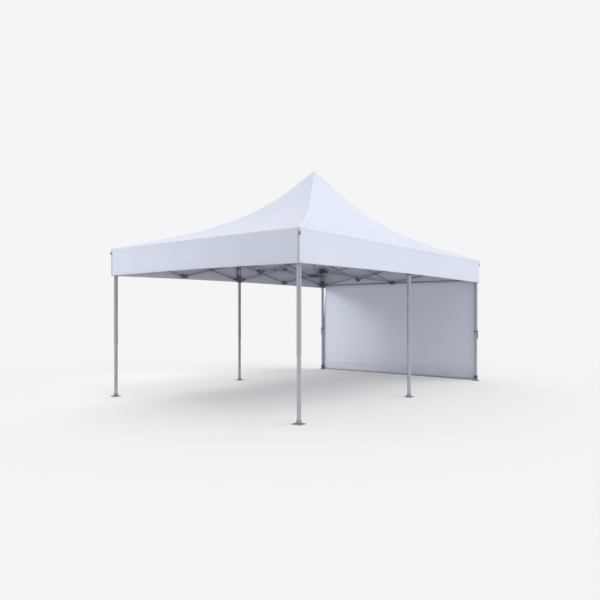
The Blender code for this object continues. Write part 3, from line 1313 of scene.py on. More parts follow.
            def place(u: float, v: float) -> Vector:
                """A point of the row."""
                inward = row + (v - 0.5) * STITCH_WIDTH
                return self.lap_point(corner, inward, 0.03 + u * (VALANCE_DROP - 0.035), THREAD_LIFT)

            together.add(stitch_row(place, VALANCE_DROP, RIGHT * corner.value[0]))
        return together.bm

    def corner_tab(self, corner: Corner) -> BMesh:
        """The short webbing loop sewn round a border's corner.

        Args:
            corner: the corner.

        Returns:
            The loop.
        """
        sign_x, sign_y = corner.value
        along, aside = RIGHT * sign_x, BACK * sign_y
        middle = corner.hip + UP * (EAVE_Z - self.tab_drop)
        turn = math.atan2(sign_y, sign_x)
        together = Gathering()
        together.add(block(self.tab_fold, 0.0018, 3), standing(middle + facing(turn) * 0.0035, turn))
        thin, wide, tall = self.tab_flat
        for size, out, back in (((thin, wide, tall), along, aside), ((wide, thin, tall), aside, along)):
            together.add(block(size, 0.0007, 1), standing(middle - back * 0.0085 + out * thin / 2))
        return together.bm

    def leg_patch(self, leg: str) -> BMesh:
        """The doubled cloth under the roof where a leg's top bracket bears on it.

        Args:
            leg: the leg's name.

        Returns:
            The patch.
        """
        axis = leg_axis(leg)
        size = self.patch_size

        def place(u: float, v: float) -> Vector:
            """A point of the patch, which lies about a middle leg, and inside the eaves elsewhere.

            Args:
                u: the share along.
                v: the share across.

            Returns:
                The point.
            """
            x = axis.x + (u - 0.5) * size
            if abs(axis.x) > NEAR_MIDDLE:
                x = math.copysign(HALF_LENGTH - self.patch_inset - u * size, axis.x)
            y = math.copysign(HALF_WIDTH - self.patch_inset - v * size, axis.y)
            return self.roof_point(x, y, -self.thickness - self.patch_gap)

        return mapped_grid(place, (16, 16), (size, size), UP)

    def peak_patch(self) -> BMesh:
        """The doubled cloth inside the peak, over the cap.

        Returns:
            The patch.
        """
        reach = self.peak_patch_share

        def place(u: float, v: float) -> Vector:
            """A point of the patch.

            Args:
                u: the share along.
                v: the share across.

            Returns:
                The point.
            """
            x = (u * 2 - 1) * HALF_LENGTH * reach
            y = (v * 2 - 1) * HALF_WIDTH * reach
            return self.roof_point(x, y, -self.thickness - self.patch_gap)

        return mapped_grid(place, (40, 40), (0.95, 0.70), UP)

    def leg_straps(self, leg: str) -> BMesh:
        """The webbing that ties the cover's eave to a leg below its top bracket.

        Args:
            leg: the leg's name.

        Returns:
            The straps.
        """
        axis = leg_axis(leg)
        half = upper_width(leg) / 2 + self.strap_gap
        low, high = self.strap_low, self.strap_low + STRAP_WIDTH
        ring = TubeSection(2 * half, 0.0024, 0.004).tube(low, high)
        bmesh.ops.translate(ring, vec=axis, verts=ring.verts)
        together = Gathering(ring)
        outer = [BACK * math.copysign(1, axis.y)]
        if abs(axis.x) > NEAR_MIDDLE:
            outer.append(RIGHT * math.copysign(1, axis.x))
        for out in outer:
            foot = axis + out * (half + 0.001) + UP * (low + 0.012)
            edge = (HALF_WIDTH if out.y else HALF_LENGTH) - self.thickness - 0.001
            head = axis + out * (edge - axis.dot(out)) + UP * (EAVE_Z - 0.030)
            ribbon = block((STRAP_WIDTH, STRAP_THICKNESS, (head - foot).length), 0.0006, 1)
            along = (head - foot).normalized()
            turn = Matrix((along.cross(out).normalized(), out, along)).transposed()
            turn.col[1] = turn.col[2].cross(turn.col[0])
            together.add(ribbon, Matrix.Translation((foot + head) / 2) @ turn.to_4x4())
        return together.bm

    def wall_fastener(self) -> BMesh:
        """The hook-and-loop band inside the right-hand border, which the wall hangs from.

        Returns:
            The band.
        """
        def place(u: float, v: float) -> Vector:
            """A point of the band."""
            drop = self.fastener_drop + v * self.fastener_width
            return self.hang(HALF_LENGTH, (u * 2 - 1) * (HALF_WIDTH - 0.05), drop, -self.thickness - 0.0012)

        return mapped_grid(place, (60, 2), (3.9, self.fastener_width), LEFT)

    def build(self) -> list[Object]:
        """Build the cover with its tapes, hems and tabs.

        Returns:
            The pieces.
        """
        cloth = cloth_piece("canopy_cover", self.skin(), CANOPY_OUTSIDE, self.thickness, CANOPY_INSIDE)
        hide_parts(*self.replaced)
        made = [cloth]
        for corner in Corner:
            name = corner.name.lower()
            made += [
                cloth_piece(f"hip_tape_{name}", self.hip_tape(corner), SEAM_TAPE),
                cloth_piece(f"corner_lap_{name}", self.corner_lap(corner), LAPPED_CLOTH),
                cloth_piece(f"hip_stitches_{name}", self.hip_stitches(corner), SEWING_THREAD, STITCH_HEIGHT),
                cloth_piece(f"lap_stitches_{name}", self.lap_stitches(corner), SEWING_THREAD, STITCH_HEIGHT),
                piece(f"corner_tab_{name}", self.corner_tab(corner), SLATE_WEBBING),
            ]
        for name, drops in (("eave", (0.015, 0.023)), ("hem", (VALANCE_DROP - 0.006, VALANCE_DROP - 0.028))):
            rows = self.border_stitches(*drops)
            made.append(cloth_piece(f"{name}_stitches", rows, SEWING_THREAD, STITCH_HEIGHT))
        for leg in LEG_NAMES:
            made += [cloth_piece(f"leg_patch_{leg}", self.leg_patch(leg), PATCH_CLOTH, PATCH_THICKNESS),
                     piece(f"leg_straps_{leg}", self.leg_straps(leg), DARK_WEBBING)]
        hem = self.border_band(VALANCE_DROP + 0.001, VALANCE_DROP - self.hem_width)
        made += [
            cloth_piece("eave_seam", self.border_band(0.026, 0.012), SEAM_TAPE),
            cloth_piece("border_hem", hem, CANOPY_OUTSIDE),
            cloth_piece("peak_patch", self.peak_patch(), CANOPY_INSIDE),
            cloth_piece("wall_fastener_band", self.wall_fastener(), DARK_WEBBING, PATCH_THICKNESS),
        ]
        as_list(made[1:])
        return made


@dataclass
class SideWall:
    """The full side wall, hung inside the right-hand border and tied round its two legs."""

    face_x: float = 2.9882
    half_width: float = 1.965
    low: float = 0.0020
    over_foot: float = 0.0105
    foot_start: float = 1.86
    high: float = 2.078
    tie: float = 0.94
    drawn_in: float = 0.085
    bow_below: float = 0.016
    thickness: float = 0.0014
    hem: float = 0.030
    roll: Size = (0.27, 0.055, 0.026)
    crease: Size = (0.17, 0.045, 0.025)
    stitch_share: float = 0.99
    foot_wrap: tuple[float, float] = (0.042, 0.105)

    def edge(self, side: float, z: float) -> float:
        """How far a side edge stands from the middle. Above its tie the back one draws in to its top corner.

        Args:
            side: the side, below 0 for the front edge.
            z: the height.

        Returns:
            The distance across.
        """
        if z < self.tie:
            return self.half_width - self.bow_below * math.sin(math.pi * max(z, 0.0) / self.tie)
        if side < 0:
            return self.half_width
        return self.half_width - self.drawn_in * ((z - self.tie) / (self.high - self.tie)) ** 0.8

    def belly(self, y: float, z: float) -> float:
        """How far the cloth swells outwards: soft upright folds, and a slack roll over the hem.

        Args:
            y: the place across.
            z: the height.

        Returns:
            The swelling.
        """
        rise = z / self.high
        free = math.sin(math.pi * min(max(rise, 0.0), 1.0)) ** 0.7
        inner = max(0.0, 1 - (abs(y) / self.half_width) ** 6)
        folds = math.sin(y * 7.4 + 0.8 * math.sin(z * 2.1)) + 0.6 * math.sin(y * 17.0 + z * 1.3 + 0.7)
        slow = noise.noise((y * 1.2, z * 1.0, 5.0))
        sway = 0.03 * math.sin(y * 1.7)
        height, spread, depth = self.roll
        roll = depth * math.exp(-((z - height - sway) / spread) ** 2)
        height, spread, depth = self.crease
        crease = depth * math.exp(-((z - height - sway * 1.4) / spread) ** 2)
        slack = 0.008 + 0.0030 * folds + 0.006 * slow
        return (slack * free + roll - crease) * inner

    def lower_edge(self, y: float) -> float:
        """Height of the hem: it clears the floor, and the foot plates at its two ends.

        Args:
            y: the place across.

        Returns:
            The height.
        """
        share = min(max((abs(y) - self.foot_start + 0.04) / 0.04, 0.0), 1.0)
        return self.low + (self.over_foot - self.low) * share

    def point(self, across: float, up: float, lift: float = 0.0) -> Vector:
        """A point of the wall's outer face.

        Args:
            across: the place across, from -1 to 1.
            up: the place up the cloth, in metres from the hem of an even wall.
            lift: how far off the face it stands, outwards.

        Returns:
            The point.
        """
        y = across * self.edge(across, up)
        low = self.lower_edge(y)
        z = low + (up - self.low) * (self.high - low) / (self.high - self.low)
        return Vector((self.face_x + self.belly(y, z) + lift, y, z))

    def band(self, low: float, high: float, lift: float, steps: tuple[int, int] = (110, 2)) -> BMesh:
        """A band across the wall between two heights, or the whole of it.

        Args:
            low: its lower edge.
            high: its upper edge.
            lift: how far off the wall's face it stands.
            steps: its steps across and up.

        Returns:
            The band.
        """
        def place(u: float, v: float) -> Vector:
            """A point of the band."""
            return self.point(u * 2 - 1, low + v * (high - low), lift)

        return mapped_grid(place, steps, (2 * self.half_width, high - low), RIGHT)

    def side_hem(self, sign: int, lift: float) -> BMesh:
        """The doubled edge down one side of the wall.

        Args:
            sign: the side across the width.
            lift: how far off the wall's face it stands.

        Returns:
            The hem.
        """
        height = self.high - self.low
        share = self.hem / self.half_width

        def place(u: float, v: float) -> Vector:
            """A point of the hem."""
            return self.point(sign * (1 - v * share), self.low + u * height, lift)

        return mapped_grid(place, (80, 2), (height, self.hem), RIGHT)

    def stitches(self) -> BMesh:
        """Rows of stitches along the top, the foot and both side hems, on the wall's outer face.

        Returns:
            The stitches.
        """
        height = self.high - self.low
        together = Gathering()
        for z in (self.high - 0.020, self.low + 0.040):

            def across(u: float, v: float) -> Vector:
                """A point of a row across the wall."""
                return self.point((u * 2 - 1) * self.stitch_share, z + (v - 0.5) * STITCH_WIDTH, THREAD_LIFT)

            together.add(stitch_row(across, 2 * self.half_width, RIGHT))
        share = (self.hem - STITCH_INSET) / self.half_width
        half_stitch = STITCH_WIDTH / self.half_width
        for sign in (-1, 1):

            def upright(u: float, v: float) -> Vector:
                """A point of a row up the wall."""
                z = self.low + (0.03 + u * 0.95) * height
                return self.point(sign * (1 - share - (v - 0.5) * half_stitch), z, THREAD_LIFT)

            together.add(stitch_row(upright, height, RIGHT))
        return together.bm

    def wrap(self, leg: str, width: float, low: float, high: float) -> BMesh:
        """A strip of webbing wrapped round a leg.

        Args:
            leg: the leg's name.
            width: the width across the flats that it is wrapped round.
            low: its lower edge.
            high: its upper edge.

        Returns:
            The strip.
        """
        bm = TubeSection(width + 0.0052, 0.0022, 0.004).tube(low, high)
        bmesh.ops.translate(bm, vec=leg_axis(leg), verts=bm.verts)
        return bm

    def middle_tie(self, leg: str) -> BMesh:
        """The strap that ties the wall to a leg, with its buckle and its hanging end.

        Args:
            leg: the leg's name.

        Returns:
            The strap.
        """
        width = upper_width(leg)
        axis = leg_axis(leg)
        out = BACK * math.copysign(1, axis.y)
        half = width / 2 + 0.0026
        z = self.tie + 0.07
        together = Gathering(self.wrap(leg, width, z - STRAP_WIDTH / 2, z + STRAP_WIDTH / 2))
        buckle = ribbed_block((0.036, 0.0050, 0.033), 0.006, 0.0012, 0.0014)
        together.add(buckle, standing(axis + out * (half + 0.0022) + UP * z))
        for tail, lean in ((0.150, 0.006), (0.115, -0.004)):
            foot = axis + out * (half + 0.0050) + RIGHT * lean + UP * (z - tail / 2 - 0.010)
            together.add(block((0.024, STRAP_THICKNESS, tail), 0.0006, 1), standing(foot))
        return together.bm

    def build(self) -> list[Object]:
        """Build the wall with its hems and straps.

        Returns:
            The pieces.
        """
        whole = self.band(self.low, self.high, 0.0, (170, 110))
        cloth = cloth_piece("side_wall_cloth", whole, WALL_OUTSIDE, self.thickness, WALL_INSIDE)
        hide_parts("side_wall")
        made = [cloth]
        back = -self.thickness - 0.0002
        for name, low, high, lift, finish in (
                ("top_band_inside", self.high - 0.022, self.high, back, HEM_DARK),
                ("bottom_hem_inside", self.low, self.low + 0.024, back, HEM_DARK),
                ("bottom_hem_outside", self.low, self.low + 0.045, TAPE_LIFT, WALL_HEM)):
            made.append(cloth_piece(f"wall_{name}", self.band(low, high, lift), finish))
        made.append(cloth_piece("wall_stitches", self.stitches(), SEWING_THREAD, STITCH_HEIGHT))
        for sign, corner in ((-1, "front"), (1, "back")):
            for side, lift in (("inside", back), ("outside", TAPE_LIFT)):
                hem = self.side_hem(sign, lift)
                made.append(cloth_piece(f"wall_side_hem_{corner}_{side}", hem, WALL_HEM))
            leg = f"{corner}_right"
            foot_wrap = self.wrap(leg, FOOT_SOCKET_WIDTH, *self.foot_wrap)
            made += [piece(f"wall_tie_{corner}", self.middle_tie(leg), DARK_WEBBING),
                     piece(f"wall_foot_wrap_{corner}", foot_wrap, DARK_WEBBING)]
        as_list(made[1:])
        return made


@dataclass
class Leg:
    """One telescopic leg: fluted upper tube, lower tube, foot, and its two brackets."""

    name: str
    chamfer: float = 0.0030
    groove_width: float = 0.011
    groove_depth: float = 0.0020
    lower_groove: tuple[float, float] = (0.009, 0.0012)
    first_hole: float = 0.18
    hole_pitch: float = 0.075
    hole_count: int = 8
    sleeve_height: float = 0.032
    sleeve_wall: float = 0.0018
    knob_rise: float = 0.018
    plate_rounding: float = 0.010
    hole_radius: float = 0.0055
    socket_top: float = 0.055
    rib: Size = (0.026, 0.004, 0.030)
    bracket_rounding: float = 0.0032
    pivot_reach: float = 0.050
    rivet_reach: float = 0.0358
    rivet_aside: float = 0.022
    ring_radius: float = 0.014
    wire_radius: float = 0.0024
    collar_rise: float = 0.040
    plug_count: int = 5
    axis: Vector = field(init=False)
    width: float = field(init=False)
    body: str = field(init=False)

    def __post_init__(self) -> None:
        """Read the leg's place from the frame."""
        self.axis = leg_axis(self.name)
        self.width = upper_width(self.name)
        self.body = f"{self.name}_foot" if self.name in SLIDING_LEGS else "frame"

    def arms(self) -> list[Vector]:
        """The plan directions in which this leg carries truss bars.

        Returns:
            Unit vectors towards its neighbours.
        """
        inward = BACK * -math.copysign(1, self.axis.y)
        if abs(self.axis.x) < NEAR_MIDDLE:
            return [inward, LEFT, RIGHT]
        return [inward, RIGHT * -math.copysign(1, self.axis.x)]

    def bare_sides(self) -> list[Vector]:
        """The plan directions in which it carries none."""
        return [side for side in SIDES if side not in self.arms()]

    def stood(self, bm: BMesh) -> BMesh:
        """Stand a mesh on the leg's axis."""
        bmesh.ops.translate(bm, vec=self.axis, verts=bm.verts)
        return bm

    def upper_tube(self) -> Object:
        """The fluted outer tube.

        Returns:
            The piece.
        """
        low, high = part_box(f"upper_leg_{self.name}")
        section = TubeSection(self.width, TUBE_WALL, self.chamfer, self.groove_width, self.groove_depth)
        bm = self.stood(section.tube(low.z, high.z))
        tube = piece(f"upper_tube_{self.name}", bm, ANODISED, smooth=TUBE_SMOOTH)
        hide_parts(f"upper_leg_{self.name}")
        return tube

    def lower_tube(self) -> Object:
        """The inner tube, from the foot up into the outer one.

        Returns:
            The piece.
        """
        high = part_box(f"lower_leg_{self.name}")[1]
        section = TubeSection(lower_width(self.name), TUBE_WALL, self.chamfer, *self.lower_groove)
        bm = self.stood(section.tube(FOOT_PLATE_THICKNESS - 0.002, high.z))
        tube = piece(f"lower_tube_{self.name}", bm, ANODISED, self.body, TUBE_SMOOTH)
        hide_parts(f"lower_leg_{self.name}")
        return tube

    def pin_holes(self) -> Object:
        """The row of pin holes down the lower tube's inner side, each with its dark eyelet.

        Returns:
            The piece.
        """
        flat = lower_width(self.name) / 2 - self.lower_groove[1]
        side = self.arms()[-1]
        together = Gathering()
        for step in range(self.hole_count):
            eyelet = turned([(0.0, -0.0002), (0.0043, -0.0002), (0.0043, 0.0006), (0.0037, 0.0010),
                             (0.0027, 0.0005), (0.0, 0.0003)], SMALL_STEPS)
            height = UP * (self.first_hole + step * self.hole_pitch)
            together.add(eyelet, pointing(self.axis + side * flat + height, side))
        return piece(f"pin_holes_{self.name}", together.bm, SLATE_NYLON, self.body)

    def sleeve(self) -> Object:
        """The slim end sleeve of the outer tube.

        Returns:
            The piece.
        """
        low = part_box(f"upper_leg_{self.name}")[0].z
        section = TubeSection(self.width + 2 * self.sleeve_wall, self.sleeve_wall - 0.0003, 0.0036)
        bm = round_rims(section.tube(low + 0.002, low + self.sleeve_height), 0.0005, 1)
        return piece(f"end_sleeve_{self.name}", self.stood(bm), ANODISED)

    def spring_knob(self) -> Object:
        """The small knob that holds the leg's height.

        Returns:
            The piece.
        """
        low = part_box(f"upper_leg_{self.name}")[0].z
        side = self.arms()[-1]
        knob = turned([(0.0, 0.0), (0.0045, 0.0), (0.0045, 0.003), (0.0078, 0.0036), (0.0085, 0.005),
                       (0.0085, 0.009), (0.0074, 0.0106), (0.0, 0.011)], LARGE_STEPS)
        together = Gathering()
        place = self.axis + side * (self.width / 2 + self.sleeve_wall - 0.0006) + UP * (low + self.knob_rise)
        together.add(knob, pointing(place, side))
        return piece(f"spring_knob_{self.name}", together.bm, GREY_NYLON)

    def plate(self) -> BMesh:
        """The foot plate: rounded corners and four anchor holes.

        Returns:
            The plate.
        """
        low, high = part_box(f"lower_leg_{self.name}")
        size = high.x - low.x
        plate = bmesh.new()
        bmesh.ops.create_grid(plate, x_segments=5, y_segments=5, size=size / 2)
        reach = size * 0.4 - 0.001
        for face in list(plate.faces):
            middle = face.calc_center_median()
            if min(abs(middle.x), abs(middle.y)) > reach:
                self.drill(plate, face)
        corners = [vert for vert in plate.verts if min(abs(vert.co.x), abs(vert.co.y)) > size / 2 - NEAR]
        bmesh.ops.bevel(plate, geom=corners, offset=self.plate_rounding, offset_type="OFFSET", segments=4,
                        profile=0.5, affect="VERTICES", material=-1)
        return raised(plate, FOOT_PLATE_THICKNESS)

    def drill(self, plate: BMesh, face: BMFace) -> None:
        """Cut a round hole through one cell of the plate.

        Args:
            plate: the plate.
            face: the cell.
        """
        middle = face.calc_center_median()
        bmesh.ops.inset_individual(plate, faces=[face], thickness=0.006)
        made = bmesh.ops.subdivide_edges(plate, edges=face.edges, cuts=2)["geom_inner"]
        rim = set(face.verts) | {item for item in made if isinstance(item, BMVert)}
        for vert in rim:
            vert.co = middle + (vert.co - middle).normalized() * self.hole_radius
        bmesh.ops.delete(plate, geom=[face], context="FACES_ONLY")

    def foot(self) -> Object:
        """The foot: plate, socket and its four ribs.

        Returns:
            The piece.
        """
        together = Gathering(self.plate())
        wall = (FOOT_SOCKET_WIDTH - lower_width(self.name)) / 2 - 0.0002
        section = TubeSection(FOOT_SOCKET_WIDTH, wall, 0.0034)
        socket = section.tube(FOOT_PLATE_THICKNESS - 0.0005, self.socket_top)
        together.add(round_rims(socket, 0.0012, 2, above=self.socket_top - 0.005))
        for quarter in range(4):
            turn = quarter * math.pi / 2
            rib = block(self.rib)
            outer = [vert for vert in rib.verts if vert.co.x > 0 and vert.co.z > 0]
            bmesh.ops.translate(rib, vec=(0, 0, -self.rib[2] * 0.85), verts=outer)
            place = facing(turn) * (FOOT_SOCKET_WIDTH / 2 + self.rib[0] / 2 - 0.001)
            together.add(rib, standing(place + UP * (FOOT_PLATE_THICKNESS + self.rib[2] / 2 - 0.0005), turn))
        return piece(f"foot_{self.name}", self.stood(together.bm), GALVANISED, self.body)

    def bracket(self, kind: str, pivot: float) -> list[Object]:
        """A moulded bracket with its bolts.

        Args:
            kind: top_bracket or slider.
            pivot: the height of its pivots.

        Returns:
            The pieces.
        """
        node = f"{kind}_{self.name}"
        low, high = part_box(node)
        shell = piece(f"{node}_moulding", rounded_copy(node, self.bracket_rounding), SLATE_NYLON)
        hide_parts(node)
        together = Gathering()
        for arm in self.arms():
            pivot_bolts(together, self.axis + arm * self.pivot_reach + UP * pivot, left_of(arm))
        for side in self.bare_sides():
            face = self.axis + side * self.rivet_reach + UP * ((low.z + high.z) / 2)
            for offset in (-self.rivet_aside, self.rivet_aside):
                together.add(bolt(0.0045, 0.0022), pointing(face + left_of(side) * offset, side))
        return [shell, piece(f"{node}_bolts", together.bm, BOLT_STEEL)]

    def pull_ring(self) -> Object:
        """The ring that unlocks the sliding bracket.

        Returns:
            The piece.
        """
        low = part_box(f"slider_{self.name}")[0].z
        diagonal = (self.arms()[0] + self.arms()[-1]).normalized()
        spot = self.axis + diagonal * 0.0480 + UP * (low + 0.026)
        together = Gathering()
        neck = turned([(0.0, 0.0), (0.0055, 0.0), (0.0055, 0.012), (0.0, 0.012)], SMALL_STEPS)
        together.add(neck, pointing(spot - diagonal * 0.004, diagonal))
        wire = [(self.ring_radius + self.wire_radius * math.cos(step * math.tau / 8),
                 self.wire_radius * math.sin(step * math.tau / 8)) for step in range(8)]
        ring = turned(wire, LARGE_STEPS, closed=True)
        together.add(ring, pointing(spot + diagonal * 0.008 - UP * 0.012, left_of(diagonal)))
        return piece(f"pull_ring_{self.name}", together.bm, SLATE_NYLON)

    def guide_rings(self) -> Object:
        """The rings at both ends of the sliding bracket that guide it along the tube.

        Returns:
            The piece.
        """
        low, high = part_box(f"slider_{self.name}")
        together = Gathering()
        for start, end in ((low.z - 0.006, low.z + 0.002), (high.z - 0.002, high.z + self.collar_rise)):
            ring = TubeSection(self.width + 0.0125, 0.0058, 0.0045).tube(start, end)
            together.add(self.stood(round_rims(ring, 0.0014, 2)))
        return piece(f"guide_rings_{self.name}", together.bm, SLATE_NYLON)

    def plugs(self) -> Object:
        """The dark plugs up the tube between the sliding bracket and the top bracket.

        Returns:
            The piece.
        """
        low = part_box(f"slider_{self.name}")[1].z + self.collar_rise + 0.008
        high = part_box(f"top_bracket_{self.name}")[0].z - 0.022
        together = Gathering()
        for side in self.arms() + self.bare_sides():
            spot = self.axis + side * (self.width / 2 - self.groove_depth - 0.0004)
            for step in range(self.plug_count):
                plug = turned([(0.0, 0.0), (0.0072, 0.0), (0.0072, 0.0030), (0.0060, 0.0038), (0.0, 0.0038)],
                              SMALL_STEPS)
                height = low + (high - low) * step / (self.plug_count - 1)
                together.add(plug, pointing(spot + UP * height, side))
        return piece(f"tube_plugs_{self.name}", together.bm, SLATE_NYLON)

    def build(self) -> list[Object]:
        """Build the leg.

        Returns:
            The pieces.
        """
        return [self.upper_tube(), self.lower_tube(), self.pin_holes(), self.sleeve(), self.spring_knob(),
                self.foot(), *self.bracket("top_bracket", TOP_PIVOT_Z), *self.bracket("slider", LOW_PIVOT_Z),
                self.guide_rings(), self.pull_ring(), self.plugs()]


@dataclass
class Truss:
    """One run of scissor bars with its moulded joints and its pivot bolts."""

    node: str
    bar_depth: float = 0.030
    bar_thickness: float = 0.012
    bar_offset: float = 0.008
    groove_border: float = 0.0085
    groove_depth: float = 0.0009
    bar_rounding: float = 0.0024
    joint_length: float = 0.090
    tongue_length: float = 0.035
    joint_width: float = 0.036
    joint_height: float = 0.056
    moulding_swell: float = 0.009
    cap_radius: float = 0.023
    end_fitting: Size = (0.080, 0.0165, 0.0400)
    end_fitting_at: float = 0.050
    pin_head: tuple[float, float] = (0.0062, 0.0060)
    low: Vector = field(init=False)
    high: Vector = field(init=False)

    def __post_init__(self) -> None:
        """Read the run's ends from the frame."""
        self.low, self.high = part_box(self.node)

    @property
    def units(self) -> int:
        """How many scissor units the run has."""
        return 1 if self.node.startswith("truss_middle") else 2

    @property
    def along(self) -> Vector:
        """The run's direction in plan."""
        size = self.high - self.low
        return RIGHT if size.x > size.y else BACK

    @property
    def aside(self) -> Vector:
        """The plan direction across the run."""
        return left_of(self.along)

    @property
    def turn(self) -> float:
        """The angle of the run's direction in plan."""
        return math.atan2(self.along.y, self.along.x)

    @property
    def length(self) -> float:
        """The run's length."""
        return (self.high - self.low).dot(self.along)

    @property
    def pitch(self) -> float:
        """From one joint between units to the next."""
        return self.length / self.units

    @property
    def levels(self) -> tuple[float, float]:
        """The heights of the lower and the upper pivots."""
        half = self.joint_height / 2
        return self.low.z + half, self.high.z - half

    @property
    def ends(self) -> tuple[float, float]:
        """How far along the run its two end joints lie."""
        return self.tongue_length / 2, self.length - self.tongue_length / 2

    def at(self, distance: float, z: float, offset: float = 0.0) -> Vector:
        """A point of the run.

        Args:
            distance: how far along it lies.
            z: its height.
            offset: how far off the run's middle plane it lies.

        Returns:
            The point.
        """
        start = (self.low + self.high) / 2 - self.along * self.length / 2
        plan = start + self.along * distance + self.aside * offset
        return Vector((plan.x, plan.y, z))

    def crossings(self) -> list[tuple[float, float]]:
        """The start and end of each unit along the run.

        Returns:
            The pairs.
        """
        stops = [self.ends[0], *(unit * self.pitch for unit in range(1, self.units)), self.ends[1]]
        return list(zip(stops, stops[1:]))

    def middle(self, near: float, far: float, offset: float = 0.0) -> Vector:
        """Where the bars of a unit cross."""
        return self.at((near + far) / 2, sum(self.levels) / 2, offset)

    def bar(self, length: float) -> BMesh:
        """A drawn bar along X: a rounded rectangle with a shallow groove down each cheek.

        Args:
            length: its length.

        Returns:
            The bar.
        """
        bm = block((length, self.bar_thickness, self.bar_depth))
        cheeks = [face for face in bm.faces if abs(face.normal.y) > 0.9]
        rails = [edge for edge in bm.edges if abs((edge.verts[0].co - edge.verts[1].co).x) > length / 2]
        bmesh.ops.inset_individual(bm, faces=cheeks, thickness=self.groove_border, depth=-self.groove_depth)
        round_edges(bm, rails, self.bar_rounding, 3)
        return bm

    def bar_places(self) -> list[tuple[Matrix, float]]:
        """Where the run's bars lie.

        Returns:
            Each bar's place and its length.
        """
        lower, upper = self.levels
        found = []
        for near, far in self.crossings():
            length = math.hypot(far - near, upper - lower)
            lean = math.atan2(upper - lower, far - near)
            for sign in (-1, 1):
                place = standing(self.middle(near, far, sign * self.bar_offset), self.turn)
                found.append((place @ Matrix.Rotation(sign * lean, 4, "Y"), length))
        return found

    def bars(self) -> Object:
        """All the run's bars.

        Returns:
            The piece.
        """
        together = Gathering()
        for place, length in self.bar_places():
            together.add(self.bar(length), place)
        bars = piece(f"{self.node}_bars", together.bm, BAR_METAL)
        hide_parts(self.node)
        return bars

    def joints(self) -> Object:
        """The moulded joints between the units, the end pieces, the bars' end fittings and the crossing caps.

        Returns:
            The piece.
        """
        swell = 2 * self.moulding_swell
        joint = (self.joint_length + swell, self.joint_width, self.joint_height + swell)
        tongue = (self.tongue_length, self.joint_width, self.joint_height)
        together = Gathering()
        for z in self.levels:
            for index in range(1, self.units):
                place = standing(self.at(index * self.pitch, z), self.turn)
                together.add(ribbed_block(joint, 0.007, 0.002, 0.009), place)
            for distance in self.ends:
                place = standing(self.at(distance, z), self.turn)
                together.add(ribbed_block(tongue, 0.005, 0.002, 0.004), place)
        radius = self.cap_radius
        face = self.bar_offset + self.bar_thickness / 2 - 0.0012
        for near, far in self.crossings():
            for side in (-self.aside, self.aside):
                cap = turned([(0.0, 0.0), (radius, 0.0), (radius, 0.0030), (radius - 0.002, 0.0052),
                              (radius * 0.45, 0.0052), (radius * 0.38, 0.0040), (0.0, 0.0040)], LARGE_STEPS)
                together.add(cap, pointing(self.middle(near, far) + side * face, side))
        for place, length in self.bar_places():
            for end in (-1, 1):
                fitting = ribbed_block(self.end_fitting, 0.006, 0.0010, 0.0018)
                shift = Matrix.Translation((end * (length / 2 - self.end_fitting_at), 0.0, 0.0))
                together.add(fitting, place @ shift)
        return piece(f"{self.node}_joints", together.bm, SLATE_NYLON)

    def bolts(self) -> Object:
        """The pivot bolts with their washers and spacers.

        Returns:
            The piece.
        """
        together = Gathering()
        for near, far in self.crossings():
            spacer = turned([(0.0, -0.0021), (0.010, -0.0021), (0.010, 0.0021), (0.0, 0.0021)], MIDDLE_STEPS)
            together.add(spacer, pointing(self.middle(near, far), self.aside))
        for distance, z in self.pins():
            for sign in (-1, 1):
                spot = self.at(distance, z, sign * (self.joint_width / 2 - 0.0022))
                together.add(bolt(*self.pin_head), pointing(spot, self.aside * sign))
        return piece(f"{self.node}_bolts", together.bm, BOLT_STEEL)

    def pins(self) -> list[tuple[float, float]]:
        """Where the bars are pinned in the joints: the distance along and the height.

        Returns:
            The places.
        """
        quarter = self.joint_length / 4
        found = []
        for z in self.levels:
            found += [(end, z) for end in self.ends]
            for index in range(1, self.units):
                found += [(index * self.pitch - quarter, z), (index * self.pitch + quarter, z)]
        return found

    def build(self) -> list[Object]:
        """Build the run.

        Returns:
            The pieces.
        """
        return [self.bars(), self.joints(), self.bolts()]


